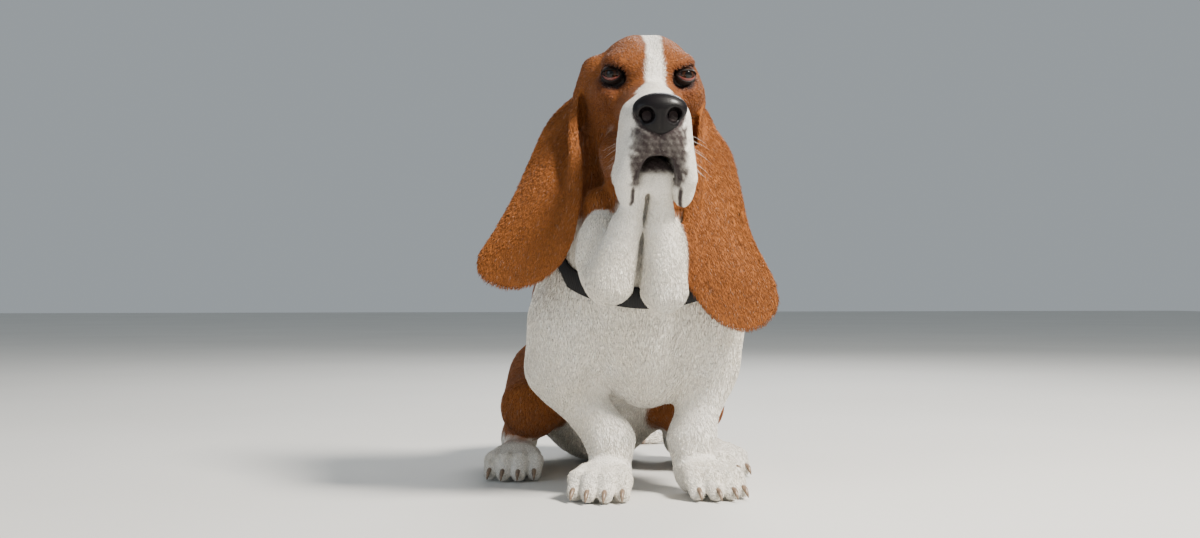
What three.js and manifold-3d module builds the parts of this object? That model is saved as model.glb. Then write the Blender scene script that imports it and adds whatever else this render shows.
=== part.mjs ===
// A life-size basset hound that sits and looks ahead, as a still model in closed pieces.
// Millimetres, +Z up. The dog faces -Y and its left side is +X. The group is moved at the end
// so that the origin is under the middle of the dog, at floor level.
import * as THREE from "three";
import { mergeVertices } from "three/addons/utils/BufferGeometryUtils.js";
import Module from "manifold-3d";

const wasm = await Module();
wasm.setup();

// Driving dimensions
const GAP = 0.3; // between two pieces that touch
const ROOM = 0.45; // around a piece that is let into another
const EYE_LEVEL = 502; // height of the eyes over the floor
const EYE_FORWARD = 65; // of the forelegs' axis
const HEAD_TURN = -5; // degrees, to the dog's right
const HEAD_NOD = 9; // degrees, nose down
const EYE_RADIUS = 13;
const EYE_SPACING = 85; // between the centres of the eyeballs
const EYE_RISE = 4; // of the eyeballs over the head's own level
const EYE_SPLAY = 18; // degrees that each eye looks outward
const LID_DEPTH = 2.6;
const EAR_THICKNESS = 6;
const COLLAR_WIDTH = 25;
const COLLAR_DEPTH = 3.5;
const COLLAR_SLOPE = 30; // degrees that the collar's plane rises to the back
const COLLAR_FRONT = [0, -95, 240];

// Small vector help on plain [x, y, z] arrays
const add = (a, b) => [a[0] + b[0], a[1] + b[1], a[2] + b[2]];
const minus = (a, b) => [a[0] - b[0], a[1] - b[1], a[2] - b[2]];
const times = (a, s) => [a[0] * s, a[1] * s, a[2] * s];
const dot = (a, b) => a[0] * b[0] + a[1] * b[1] + a[2] * b[2];
const cross = (a, b) => [a[1] * b[2] - a[2] * b[1], a[2] * b[0] - a[0] * b[2], a[0] * b[1] - a[1] * b[0]];
const size = (a) => Math.hypot(a[0], a[1], a[2]);
const unit = (a) => times(a, 1 / size(a));
const clamp = (x, low, high) => Math.min(high, Math.max(low, x));
const radians = (degrees) => (degrees * Math.PI) / 180;

// Forms of flesh. Each gives a distance to its surface, negative inside, and blends over its reach.
function limb(a, b, radiusA, radiusB, reach = 12) {
  const along = minus(b, a);
  const square = dot(along, along);
  const at = (p) => {
    const from = minus(p, a);
    const t = clamp(dot(from, along) / square, 0, 1);
    return size(minus(from, times(along, t))) - radiusA - t * (radiusB - radiusA);
  };
  return { at, reach };
}

function ball(centre, radii, reach = 12) {
  const at = (p) => {
    const q = minus(p, centre);
    const near = Math.hypot(q[0] / radii[0], q[1] / radii[1], q[2] / radii[2]);
    const steep = Math.hypot(q[0] / radii[0] ** 2, q[1] / radii[1] ** 2, q[2] / radii[2] ** 2);
    return steep > 1e-9 ? (near * (near - 1)) / steep : -Math.min(...radii);
  };
  return { at, reach };
}

function chain(points, reach) {
  const pairs = points.slice(1).map((b, i) => [points[i], b]);
  return pairs.map(([a, b]) => limb(a.slice(0, 3), b.slice(0, 3), a[3], b[3], reach));
}

function blend(a, b, reach) {
  const h = Math.max(reach - Math.abs(a - b), 0);
  return Math.min(a, b) - (h * h) / (4 * reach);
}

const blended = (forms) => (p) => forms.reduce((d, form) => blend(d, form.at(p), form.reach), 1e3);
const mirrored = (field) => (p) => field([Math.abs(p[0]), p[1], p[2]]);
const either = (a, b, reach) => (p) => blend(a(p), b(p), reach);
const without = (a, b, reach) => (p) => -blend(-a(p), b(p), reach);

// The head's own frame has its origin between the eyes, with the muzzle along its -Y.
const headTurn = new THREE.Matrix4().makeRotationZ(radians(HEAD_TURN));
const headNod = new THREE.Matrix4().makeRotationX(radians(HEAD_NOD));
const eyeLine = [3, -EYE_FORWARD, EYE_LEVEL];
const headPlace = new THREE.Matrix4().makeTranslation(...eyeLine).multiply(headTurn).multiply(headNod);
const headBack = headPlace.clone().invert();

function moved(p, matrix) {
  return new THREE.Vector3(...p).applyMatrix4(matrix).toArray();
}

function inHead(field) {
  const e = headBack.elements;
  return (p) =>
    field([
      e[0] * p[0] + e[4] * p[1] + e[8] * p[2] + e[12],
      e[1] * p[0] + e[5] * p[1] + e[9] * p[2] + e[13],
      e[2] * p[0] + e[6] * p[1] + e[10] * p[2] + e[14],
    ]);
}

// The skull and muzzle. Forms off the middle are given for one side and mirrored.
const skullMiddle = blended([
  ball([0, 52, 6], [58, 78, 48]),
  ball([0, -144, -66], [20, 15, 19], 10),
  ball([0, 118, 24], [22, 24, 20], 22),
  limb([0, -10, -25], [0, -130, -37], 25, 20, 16),
  limb([0, 20, -84], [0, -50, -88], 38, 28, 20),
]);
const skullSides = mirrored(
  blended([
    ball([33, 4, 17], [24, 24, 15]),
    ball([46, 30, -20], [25, 42, 27], 18),
    ball([44, 64, -46], [31, 48, 54], 22),
    limb([15, -12, -38], [13, -132, -44], 27, 22, 16),
    limb([14, -146, -60], [36, -127, -108], 16, 9.5, 9),
    ball([30, -92, -86], [15, 50, 56], 12),
    limb([31, -64, -112], [38, -8, -88], 17, 20, 16),
  ]),
);
const jawForm = blended([
  limb([0, 20, -96], [0, -110, -104], 26, 17, 10),
  ball([0, -124, -106], [22, 16, 20], 8),
]);
const nostrils = mirrored(
  blended([
    ball([13.5, -169, -38], [7.5, 9, 7], 3),
    limb([18, -164, -39], [26, -155, -44], 3.2, 2.4, 3),
  ]),
);
const noseForm = without(
  blended([ball([0, -150, -33], [30, 16, 18], 8), ball([0, -152, -49], [18, 12, 12], 8)]),
  nostrils,
  3,
);
const browFurrow = limb([0, -14, 46], [0, 60, 68], 12, 12).at;
const eyeSockets = mirrored(ball([EYE_SPACING / 2, -6, 2], [16, 12, 12]).at);
// The right ear is set forward and high, and the left one is laid back
const earRoots = blended([
  limb([-60, 48, 6], [-72, 62, -24], 20, 17, 16),
  limb([44, 50, 0], [51, 62, -28], 18, 15, 16),
]);
const headForm = without(
  without(
    without(either(either(skullMiddle, skullSides, 14), earRoots, 16), browFurrow, 10),
    eyeSockets,
    6,
  ),
  (p) => jawForm(p) - 1.2,
  3,
);
const head = inHead(headForm);
const jaw = inHead(jawForm);

// The trunk from chest to rump, the neck and the throat
const trunk = blended([
  ball([0, -2, 246], [92, 78, 96]),
  ball([14, 12, 182], [58, 66, 78], 40),
  limb([0, 22, 262], [0, 150, 226], 104, 107, 40),
  limb([0, 150, 226], [0, 272, 158], 107, 94, 40),
  ball([0, 345, 105], [98, 92, 106], 40),
  ball([0, 80, 330], [60, 72, 50], 40),
  limb([0, 35, 330], [2, 14, 425], 84, 68, 40),
  limb([1, 38, 445], [0, 100, 350], 54, 60, 40),
  limb([-3, -66, 388], [-8, -44, 290], 42, 56, 30),
]);
const shoulders = mirrored(
  blended([ball([84, 22, 205], [44, 70, 96]), limb([92, -5, 212], [95, 32, 156], 38, 33, 30)]),
);
const thighs = mirrored(
  blended([
    limb([70, 345, 118], [112, 198, 94], 64, 40),
    limb([112, 192, 88], [118, 320, 44], 34, 25, 20),
    limb([118, 322, 30], [130, 200, 26], 24, 24, 14),
  ]),
);

// Forelegs: elbow, wrist and the paw's place and heading, in degrees outward
const forelegs = {
  right: { elbow: [-96, 30, 152], wrist: [-33, 2, 66], paw: [-46, -30], heading: -18 },
  left: { elbow: [95, 30, 158], wrist: [69, 3, 66], paw: [80, -30], heading: 14 },
};
const hindPaws = {
  right: { paw: [-134, 172], heading: -14 },
  left: { paw: [134, 172], heading: 14 },
};
const TOE_SPREAD = [-27, -9.5, 9.5, 27]; // across the paw
const TOE_LENGTH = [34, 46, 46, 34];

const forearm = ({ elbow, wrist }) => [
  limb(elbow, wrist, 33, 27, 26),
  limb(wrist, add(wrist, [0, -6, -30]), 30, 26, 14),
];

// A point of a paw, from its own frame: x across, -y to the toes
function onPaw({ paw, heading }, [x, y, z]) {
  const turn = radians(heading);
  const [c, s] = [Math.cos(turn), Math.sin(turn)];
  return [paw[0] + x * c - y * s, paw[1] + x * s + y * c, z];
}

function toeLine(place, i) {
  const [x, long] = [TOE_SPREAD[i], TOE_LENGTH[i]];
  return [
    [0.75 * x, 0, 30],
    [x, -0.62 * long, 25],
    [1.06 * x, -long, 10],
  ].map((point) => onPaw(place, point));
}

function pawForms(place) {
  const toes = TOE_SPREAD.flatMap((_, i) => {
    const [root, knuckle, tip] = toeLine(place, i);
    return [limb(root, knuckle, 14, 13, 5), limb(knuckle, tip, 13, 11, 5)];
  });
  return [ball(onPaw(place, [0, 10, 22]), [34, 34, 25], 12), ...toes];
}

const rightForeleg = blended([...forearm(forelegs.right), ...pawForms(forelegs.right)]);
const leftForeleg = blended([...forearm(forelegs.left), ...pawForms(forelegs.left)]);
const hindFeet = blended([...pawForms(hindPaws.right), ...pawForms(hindPaws.left)]);

const TAIL = [
  [0, 400, 70, 30],
  [4, 446, 34, 23],
  [26, 492, 19, 18],
  [66, 532, 15, 15],
  [112, 552, 11, 11],
  [156, 550, 7, 7],
];
const tail = blended(chain(TAIL, 14));

const limbs = either(
  either(either(shoulders, thighs, 20), either(rightForeleg, leftForeleg, 3), 24),
  hindFeet,
  14,
);
const body = either(either(trunk, limbs, 26), tail, 18);
const flesh = either(body, head, 24);

// The dewlap: two long folds that hang from the throat over the collar, and a fold at each side
const dewlapForm = blended([
  ...chain([[-25, -150, 362, 12], [-34, -128, 322, 19], [-50, -104, 262, 31]], 6),
  ...chain([[2, -152, 362, 13], [6, -128, 318, 20], [14, -108, 251, 29]], 6),
  ball([-56, -86, 292], [32, 22, 50], 12),
  ball([20, -96, 290], [27, 20, 46], 12),
]);
const sideFolds = blended([
  limb([-56, -66, 350], [-64, -54, 292], 22, 25),
  limb([44, -72, 350], [54, -58, 292], 22, 25),
]);

// Where two opposite corners of a grid square are inside and the others outside, one more is put
// inside, so that the surface never touches itself
function joinDiagonals(values, n, index, inside) {
  const squares = [
    [[1, 0, 0], [0, 1, 0]],
    [[0, 1, 0], [0, 0, 1]],
    [[1, 0, 0], [0, 0, 1]],
  ];
  let found = true;
  while (found) {
    found = false;
    for (let k = 0; k < n[2] - 1; k++)
      for (let j = 0; j < n[1] - 1; j++)
        for (let i = 0; i < n[0] - 1; i++)
          for (const [u, w] of squares) {
            const a = index(i, j, k);
            const b = index(i + u[0], j + u[1], k + u[2]);
            const c = index(i + u[0] + w[0], j + u[1] + w[1], k + u[2] + w[2]);
            const d = index(i + w[0], j + w[1], k + w[2]);
            const [ina, inb, inc, ind] = [a, b, c, d].map((corner) => values[corner] < 0);
            if (ina !== inc || inb !== ind || ina === inb) continue;
            const [first, second] = ina ? [b, d] : [a, c];
            values[values[first] < values[second] ? first : second] = inside;
            found = true;
          }
  }
}

// A closed mesh of where a field is under a level: a vertex in each cell of a grid that the surface
// crosses, and a pair of triangles across each edge that it crosses
function netOf(field, low, high, cell, level = 0) {
  const n = [0, 1, 2].map((i) => Math.ceil((high[i] - low[i]) / cell) + 1);
  const place = (i, j, k) => [low[0] + i * cell, low[1] + j * cell, low[2] + k * cell];
  const index = (i, j, k) => i + n[0] * (j + n[1] * k);
  const values = new Float32Array(n[0] * n[1] * n[2]);
  for (let k = 0; k < n[2]; k++)
    for (let j = 0; j < n[1]; j++)
      for (let i = 0; i < n[0]; i++) {
        const rim = !i || !j || !k || i === n[0] - 1 || j === n[1] - 1 || k === n[2] - 1;
        const value = field(place(i, j, k)) - level;
        const clear = Math.sign(value) * Math.max(Math.abs(value), cell / 20);
        values[index(i, j, k)] = rim ? Math.max(clear, cell / 4) : clear;
      }
  joinDiagonals(values, n, index, -cell / 20);
  const corners = [0, 1, 2, 3, 4, 5, 6, 7].map((c) => [c & 1, (c >> 1) & 1, c >> 2]);
  const isEdge = (a, b) => size(minus(a, b)) === 1;
  const edges = corners.flatMap((a, i) => corners.slice(i).filter((b) => isEdge(a, b)).map((b) => [a, b]));
  const cells = new Map();
  const points = [];
  const vertexOf = (i, j, k) => {
    const key = index(i, j, k);
    if (cells.has(key)) return cells.get(key);
    let sum = [0, 0, 0];
    let count = 0;
    for (const [a, b] of edges) {
      const va = values[index(i + a[0], j + a[1], k + a[2])];
      const vb = values[index(i + b[0], j + b[1], k + b[2])];
      if (va < 0 === vb < 0) continue;
      const t = va / (va - vb);
      sum = add(sum, [0, 1, 2].map((axis) => a[axis] + t * (b[axis] - a[axis])));
      count++;
    }
    points.push(add(place(i, j, k), times(sum, cell / count)));
    cells.set(key, points.length - 1);
    return points.length - 1;
  };
  const faces = [];
  const across = [
    [[0, 0, 0], [0, -1, 0], [0, -1, -1], [0, 0, -1]],
    [[0, 0, 0], [0, 0, -1], [-1, 0, -1], [-1, 0, 0]],
    [[0, 0, 0], [-1, 0, 0], [-1, -1, 0], [0, -1, 0]],
  ];
  for (let k = 0; k < n[2] - 1; k++)
    for (let j = 0; j < n[1] - 1; j++)
      for (let i = 0; i < n[0] - 1; i++)
        for (let axis = 0; axis < 3; axis++) {
          const here = values[index(i, j, k)];
          const next = values[index(i + (axis === 0), j + (axis === 1), k + (axis === 2))];
          if (here < 0 === next < 0) continue;
          const quad = across[axis].map(([a, b, c]) => vertexOf(i + a, j + b, k + c));
          if (here >= 0) quad.reverse();
          const [a, b, c, d] = quad;
          const short = size(minus(points[a], points[c])) < size(minus(points[b], points[d]));
          faces.push(...(short ? [[a, b, c], [a, c, d]] : [[b, c, d], [b, d, a]]));
        }
  return { points, faces };
}

// Collapses the edges that carry least shape until a mesh has so many triangles
const LENGTH_COST = 1e-3;
const LEAST_TURN = 0.2; // as a cosine, between a triangle before and after
const LEAST_AREA = 0.05;
const SHARE_AT_ONCE = 0.1;
function thinned({ points, faces }, triangles) {
  const quadrics = points.map(() => new Float64Array(10));
  const round = points.map(() => new Set());
  const put = (q, [a, b, c], d, w) => {
    const terms = [a * a, a * b, a * c, a * d, b * b, b * c, b * d, c * c, c * d, d * d];
    terms.forEach((x, i) => (q[i] += w * x));
  };
  faces.forEach((face, f) => {
    const [a, b, c] = face.map((v) => points[v]);
    const normal = cross(minus(b, a), minus(c, a));
    const area = size(normal);
    const n = area > 1e-9 ? times(normal, 1 / area) : [0, 0, 0];
    face.forEach((v) => {
      put(quadrics[v], n, -dot(n, a), area);
      round[v].add(f);
    });
  });
  const error = (q, [x, y, z]) =>
    q[0] * x * x + 2 * q[1] * x * y + 2 * q[2] * x * z + 2 * q[3] * x + q[4] * y * y +
    2 * q[5] * y * z + 2 * q[6] * y + q[7] * z * z + 2 * q[8] * z + q[9];
  const alive = faces.map(() => true);
  let left = faces.length;
  const plan = (a, b) => {
    const q = quadrics[a].map((x, i) => x + quadrics[b][i]);
    const spots = [points[a], points[b], times(add(points[a], points[b]), 0.5)];
    const longer = LENGTH_COST * size(minus(points[a], points[b])) ** 2;
    const costs = spots.map((s) => error(q, s) + longer);
    const best = costs.indexOf(Math.min(...costs));
    return { a, b, cost: costs[best], spot: spots[best] };
  };
  const around = (v) => new Set([...round[v]].flatMap((f) => faces[f]).filter((w) => w !== v));
  const turns = (v, other, spot) =>
    [...round[v]].some((f) => {
      if (faces[f].includes(other)) return false;
      const old = faces[f].map((w) => points[w]);
      const now = faces[f].map((w) => (w === v ? spot : points[w]));
      const before = cross(minus(old[1], old[0]), minus(old[2], old[0]));
      const after = cross(minus(now[1], now[0]), minus(now[2], now[0]));
      const turned = dot(before, after) < LEAST_TURN * size(before) * size(after);
      return turned || size(after) < LEAST_AREA;
    });
  while (left > triangles) {
    const seen = new Set();
    const plans = [];
    faces.forEach((face, f) => {
      if (!alive[f]) return;
      face.forEach((a, i) => {
        const b = face[(i + 1) % 3];
        const key = a < b ? a * 1e6 + b : b * 1e6 + a;
        if (seen.has(key)) return;
        seen.add(key);
        plans.push(plan(a, b));
      });
    });
    plans.sort((x, y) => x.cost - y.cost);
    const touched = new Set();
    const most = Math.max(8, Math.floor(plans.length * SHARE_AT_ONCE));
    let done = 0;
    for (const { a, b, spot } of plans) {
      if (left <= triangles || done >= most) break;
      if (touched.has(a) || touched.has(b)) continue;
      const [nearA, nearB] = [around(a), around(b)];
      if ([...nearA].filter((v) => nearB.has(v)).length !== 2) continue;
      if (turns(a, b, spot) || turns(b, a, spot)) continue;
      [...nearA, ...nearB].forEach((v) => touched.add(v));
      for (const f of [...round[b]]) {
        if (faces[f].includes(a)) {
          alive[f] = false;
          left--;
          faces[f].forEach((v) => round[v].delete(f));
        } else {
          faces[f] = faces[f].map((v) => (v === b ? a : v));
          round[a].add(f);
        }
      }
      quadrics[b].forEach((x, i) => (quadrics[a][i] += x));
      points[a] = spot;
      done++;
    }
    if (!done) break;
  }
  return { points, faces: faces.filter((_, f) => alive[f]) };
}

function solidOf({ points, faces }) {
  const used = new Map();
  const vertices = [];
  const triangles = faces.map((face) =>
    face.map((v) => {
      if (!used.has(v)) {
        used.set(v, vertices.length);
        vertices.push(points[v]);
      }
      return used.get(v);
    }),
  );
  return new wasm.Manifold(
    new wasm.Mesh({
      numProp: 3,
      vertProperties: new Float32Array(vertices.flat()),
      triVerts: new Uint32Array(triangles.flat()),
    }),
  );
}

function solidFrom(geometry) {
  const bare = new THREE.BufferGeometry();
  bare.setAttribute("position", geometry.getAttribute("position").clone()).setIndex(geometry.index);
  const merged = mergeVertices(bare, 1e-3);
  return new wasm.Manifold(
    new wasm.Mesh({
      numProp: 3,
      vertProperties: merged.attributes.position.array,
      triVerts: new Uint32Array(merged.index.array),
    }),
  );
}

// The half of space in front of a plane, moved off it by a distance, as a very large block
const FAR = 1500;
function front(point, normal, away = 0) {
  const block = new THREE.BoxGeometry(FAR, FAR, FAR).translate(0, 0, FAR / 2 + away);
  const [up, aim] = [new THREE.Vector3(0, 0, 1), new THREE.Vector3(...unit(normal))];
  const turn = new THREE.Quaternion().setFromUnitVectors(up, aim);
  block.applyQuaternion(turn).translate(...point);
  return solidFrom(block);
}
const behind = (point, normal, away = 0) => front(point, times(normal, -1), away);
const all = (first, ...tools) => tools.reduce((solid, tool) => solid.intersect(tool), first);
const largest = (solid) => solid.decompose().sort((a, b) => b.volume() - a.volume())[0];

// Flesh in a box, thinned to so many triangles and standing on the floor
const floor = front([0, 0, 0], [0, 0, 1]);
function carve(field, low, high, cell, triangles, level = 0) {
  return solidOf(thinned(netOf(field, low, high, cell, level), triangles)).intersect(floor);
}

// Where the pieces part
const slope = radians(COLLAR_SLOPE);
const collarNormal = [0, -Math.sin(slope), Math.cos(slope)];
const neckTop = { point: [0, 10, 432], normal: [0, -0.707, 0.707] };
const legLean = 0.25; // how far the cut between leg and trunk leans outward, for each mm up
const half = GAP / 2;

const nodes = [];
const tan = { color: 0x9a5a2c, roughness: 0.8 };
const white = { color: 0xe9e2d4, roughness: 0.85 };
const black = { color: 0x141416, roughness: 0.6 };
const dark = { color: 0x2a2024, roughness: 0.4 };

function node(name, solid, { color, roughness }) {
  const mesh = largest(solid).getMesh();
  const geometry = new THREE.BufferGeometry()
    .setAttribute("position", new THREE.BufferAttribute(new Float32Array(mesh.vertProperties), 3))
    .setIndex(new THREE.BufferAttribute(new Uint32Array(mesh.triVerts), 1));
  geometry.computeVertexNormals();
  const made = new THREE.Mesh(geometry, new THREE.MeshStandardMaterial({ color, roughness, metalness: 0 }));
  made.name = name;
  nodes.push(made);
}

// Eyes and their lids
function eyePlace(side) {
  const centre = moved([(side * EYE_SPACING) / 2, 0, EYE_RISE], headPlace);
  const turn = new THREE.Euler(radians(HEAD_NOD), 0, radians(HEAD_TURN + side * EYE_SPLAY), "ZXY");
  return new THREE.Matrix4().makeRotationFromEuler(turn).setPosition(...centre);
}

function globe(radius, side, scale = [1, 1, 1], shift = [0, 0, 0], segments = 18) {
  const sphere = new THREE.SphereGeometry(radius, segments, (segments * 2) / 3);
  return solidFrom(sphere.scale(...scale).translate(...shift).applyMatrix4(eyePlace(side)));
}

function lids(side) {
  const opening = globe(1, side, [12.6, 14, 8.2], [0, -13, -1.2]);
  return globe(EYE_RADIUS + GAP + LID_DEPTH, side).subtract(opening);
}

// Ears: a front and a rear edge, with the leather between them
const ears = {
  right: {
    front: [
      [-60, 0, 498], [-72, -16, 489], [-77, -30, 462], [-78, -44, 432],
      [-76, -62, 398], [-80, -78, 356], [-92, -86, 302], [-107, -84, 252],
    ],
    rear: [
      [-58, 50, 500], [-74, 51, 491], [-103, 40, 462], [-125, 18, 420],
      [-150, -10, 366], [-176, -33, 321], [-196, -44, 290], [-211, -50, 257],
    ],
    hollow: [10, 12, 8, 2, -5, -8, -8, -6],
    valley: [0, 6, 12, 14, 10, 4, 0, 0],
    roll: [0, 4, 8, 9, 8, 4, 2, 0],
  },
  left: {
    front: [
      [58, -15, 490], [72, -36, 479], [66, -55, 447], [60, -72, 410],
      [50, -86, 368], [39, -96, 323], [41, -100, 268], [54, -100, 209],
    ],
    rear: [
      [62, 40, 488], [89, 28, 479], [100, 11, 452], [113, -16, 420],
      [118, -42, 378], [125, -66, 320], [153, -88, 250], [160, -94, 203],
    ],
    hollow: [12, 16, 14, 6, -4, -8, -8, -6],
    valley: [0, 2, 4, 4, 3, 0, 0, 0],
    roll: [0, 2, 4, 5, 5, 3, 2, 0],
  },
};
const EAR_ACROSS = 12;
const EAR_ALONG = 18;
const EAR_SHOULDER = 0.84; // where the ear's round end starts

// A rail's value at a place along it
function level(values, v) {
  const place = v * (values.length - 1);
  const i = Math.min(Math.floor(place), values.length - 2);
  return values[i] + (values[i + 1] - values[i]) * (place - i);
}

// The front edge rolls over, and a valley runs behind the roll
const ROLL = { at: 0.09, reach: 0.07 }; // of the way from the front edge to the rear one
const VALLEY = { at: 0.3, reach: 0.13 };
const bump = ({ at, reach }, u) => Math.exp(-(((u - at) / reach) ** 2));

function earPoint(ear, side, u, t) {
  const v = t * (EAR_SHOULDER + (1 - EAR_SHOULDER) * Math.sqrt(Math.max(0, 1 - (2 * u - 1) ** 2)));
  const [a, b] = [ear.front, ear.rear].map((rail) =>
    new THREE.CatmullRomCurve3(rail.map((p) => new THREE.Vector3(...p))).getPoint(v).toArray(),
  );
  const across = minus(b, a);
  const out = unit(cross(across, [0, 0, 1]));
  const inward = level(ear.hollow, v) * 4 * u * (1 - u) + level(ear.valley, v) * bump(VALLEY, u);
  const swell = level(ear.roll, v) * bump(ROLL, u) - inward;
  return add(add(a, times(across, u)), times(out, side * swell));
}

function earSheet(ear, side, thickness) {
  const rows = Array.from({ length: EAR_ALONG + 1 }, (_, j) =>
    Array.from({ length: EAR_ACROSS + 1 }, (_, i) => earPoint(ear, side, i / EAR_ACROSS, j / EAR_ALONG)),
  );
  const skin = (sign) =>
    rows.map((row, j) =>
      row.map((p, i) => {
        const du = minus(row[Math.min(i + 1, EAR_ACROSS)], row[Math.max(i - 1, 0)]);
        const dv = minus(rows[Math.min(j + 1, EAR_ALONG)][i], rows[Math.max(j - 1, 0)][i]);
        const rim = Math.min(i, EAR_ACROSS - i, (EAR_ALONG - j) * 1.2) / 2;
        const thick = (thickness / 2) * Math.sqrt(clamp(0.2 + rim, 0, 1));
        return add(p, times(unit(cross(du, dv)), sign * thick));
      }),
    );
  const points = [...skin(1).flat(), ...skin(-1).flat()];
  const wide = EAR_ACROSS + 1;
  const layer = wide * (EAR_ALONG + 1);
  const faces = [];
  const quad = (a, b, c, d) => faces.push([a, b, c], [a, c, d]);
  for (let j = 0; j < EAR_ALONG; j++)
    for (let i = 0; i < EAR_ACROSS; i++) {
      const a = j * wide + i;
      const b = layer + a;
      quad(a, a + 1, a + wide + 1, a + wide);
      faces.push([b, b + wide + 1, b + 1], [b, b + wide, b + wide + 1]);
    }
  const border = [];
  for (let i = 0; i < EAR_ACROSS; i++) border.push(i);
  for (let j = 0; j < EAR_ALONG; j++) border.push(j * wide + EAR_ACROSS);
  for (let i = EAR_ACROSS; i > 0; i--) border.push(EAR_ALONG * wide + i);
  for (let j = EAR_ALONG; j > 0; j--) border.push(j * wide);
  border.forEach((a, n) => {
    const b = border[(n + 1) % border.length];
    quad(b, a, layer + a, layer + b);
  });
  const solid = solidOf({ points, faces });
  return solid.volume() > 0 ? solid : solidOf({ points, faces: faces.map((f) => [...f].reverse()) });
}

// A piece's own mesh with each vertex moved outward, to cut room for the piece in its neighbours
function grown(solid, distance) {
  const { vertProperties, triVerts } = solid.getMesh();
  const geometry = new THREE.BufferGeometry()
    .setAttribute("position", new THREE.BufferAttribute(new Float32Array(vertProperties), 3))
    .setIndex(new THREE.BufferAttribute(new Uint32Array(triVerts), 1));
  geometry.computeVertexNormals();
  const normals = geometry.getAttribute("normal").array;
  return new wasm.Manifold(
    new wasm.Mesh({
      numProp: 3,
      vertProperties: vertProperties.map((x, i) => x + distance * normals[i]),
      triVerts,
    }),
  );
}
const clearOf = (solid, ...others) =>
  others.reduce((left, other) => left.subtract(grown(other, ROOM)).subtract(other), solid);

// Regions of the body that belong to a leg, a paw or the tail, moved inward by an offset
const side = { right: -1, left: 1 };
const BETWEEN_FORELEGS = 15;
const foreleg = (s, off) =>
  all(
    behind([s * 60, 0, 148], [-s * 0.57, 0, 0.82], off),
    behind([0, 74, 0], [0, 1, 0], off),
    front([BETWEEN_FORELEGS, 0, 0], [s, 0, 0], off),
  );
const wristCut = (s, off) => behind([0, 0, 50], [0, 0, 1], off);
const hindLeg = (s, off) =>
  all(
    front([s * 72, 0, 0], [s, 0, 0], off),
    front([s * 72, 0, 100], [s * 0.89, 0, -0.45], off),
    front([0, 118, 0], [0, 1, 0], off),
  );
const hockCut = (s, off) => all(behind([0, 212, 0], [0, 1, 0], off), behind([0, 0, 52], [0, 0, 1], off));
const hindFootRegion = (s, off) => all(hockCut(s, off), front([s * 82, 0, 0], [s, 0, 0], off));
const tailRoot = { point: [2, 432, 46], normal: [0, 0.79, -0.61] };

const CLAW_DROP = 0.35; // for each mm forward
function claws(place) {
  return TOE_SPREAD.map((_, i) => {
    const [, knuckle, tip] = toeLine(place, i);
    const forward = unit(minus(tip, knuckle));
    const claw = new THREE.ConeGeometry(3.8, 20, 7, 1);
    const aim = new THREE.Vector3(...unit([forward[0], forward[1], -CLAW_DROP]));
    claw.applyQuaternion(new THREE.Quaternion().setFromUnitVectors(new THREE.Vector3(0, 1, 0), aim));
    const at = add(tip, times([forward[0], forward[1], 0], 9));
    claw.translate(at[0], at[1], 9);
    return solidFrom(claw);
  });
}

// Head, jaw and nose
const wholeField = either(flesh, sideFolds, 16);
const headFlesh = carve(wholeField, [-110, -245, 300], [110, 130, 580], 5, 3500);
const jawSolid = carve(jaw, [-62, -242, 322], [60, 20, 460], 4.5, 280);
const noseSolid = carve(inHead(noseForm), [-50, -245, 400], [40, -180, 480], 3.2, 400);
const headPart = all(headFlesh, front(neckTop.point, neckTop.normal, half));
let headNode = clearOf(headPart, jawSolid, noseSolid);
for (const s of Object.values(side)) headNode = headNode.add(lids(s)).subtract(globe(EYE_RADIUS + GAP, s));
headNode = largest(headNode);

// Neck and trunk part under the collar
const neckFlesh = carve(wholeField, [-140, -150, 190], [140, 200, 530], 9, 900);
const neckPart = all(
  neckFlesh,
  behind(neckTop.point, neckTop.normal, half),
  front(COLLAR_FRONT, collarNormal, half),
);
const torsoFlesh = carve(wholeField, [-180, -130, -20], [180, 470, 460], 14, 2100);
const collarSlab = (off) =>
  all(
    front(COLLAR_FRONT, collarNormal, -COLLAR_WIDTH / 2 - off),
    behind(COLLAR_FRONT, collarNormal, -COLLAR_WIDTH / 2 - off),
  );
const collarNode = largest(
  grown(neckFlesh, COLLAR_DEPTH + ROOM)
    .subtract(grown(neckFlesh, ROOM))
    .subtract(grown(torsoFlesh, ROOM))
    .intersect(collarSlab(0)),
);
const collarRoom = grown(neckFlesh, COLLAR_DEPTH + 2 * ROOM).intersect(collarSlab(ROOM));

let torsoNode = all(
  torsoFlesh,
  behind(COLLAR_FRONT, collarNormal, half),
  behind(tailRoot.point, tailRoot.normal, half),
);
for (const s of Object.values(side))
  for (const region of [foreleg, hindLeg, hindFootRegion]) torsoNode = torsoNode.subtract(region(s, -half));
torsoNode = largest(torsoNode);

const neckNode = largest(clearOf(neckPart, jawSolid));
const dewlapSolid = carve(dewlapForm, [-95, -185, 200], [60, -60, 385], 6.5, 520);
const dewlapNode = largest(
  clearOf(dewlapSolid, headFlesh, neckFlesh, torsoFlesh, jawSolid).subtract(collarRoom),
);

const eyes = { right: globe(EYE_RADIUS, -1), left: globe(EYE_RADIUS, 1) };
const ear = Object.fromEntries(
  Object.entries(side).map(([name, s]) => [
    name,
    largest(
      clearOf(earSheet(ears[name], s, EAR_THICKNESS), headFlesh, neckFlesh, torsoFlesh, dewlapNode)
        .subtract(collarRoom),
    ),
  ]),
);

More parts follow.
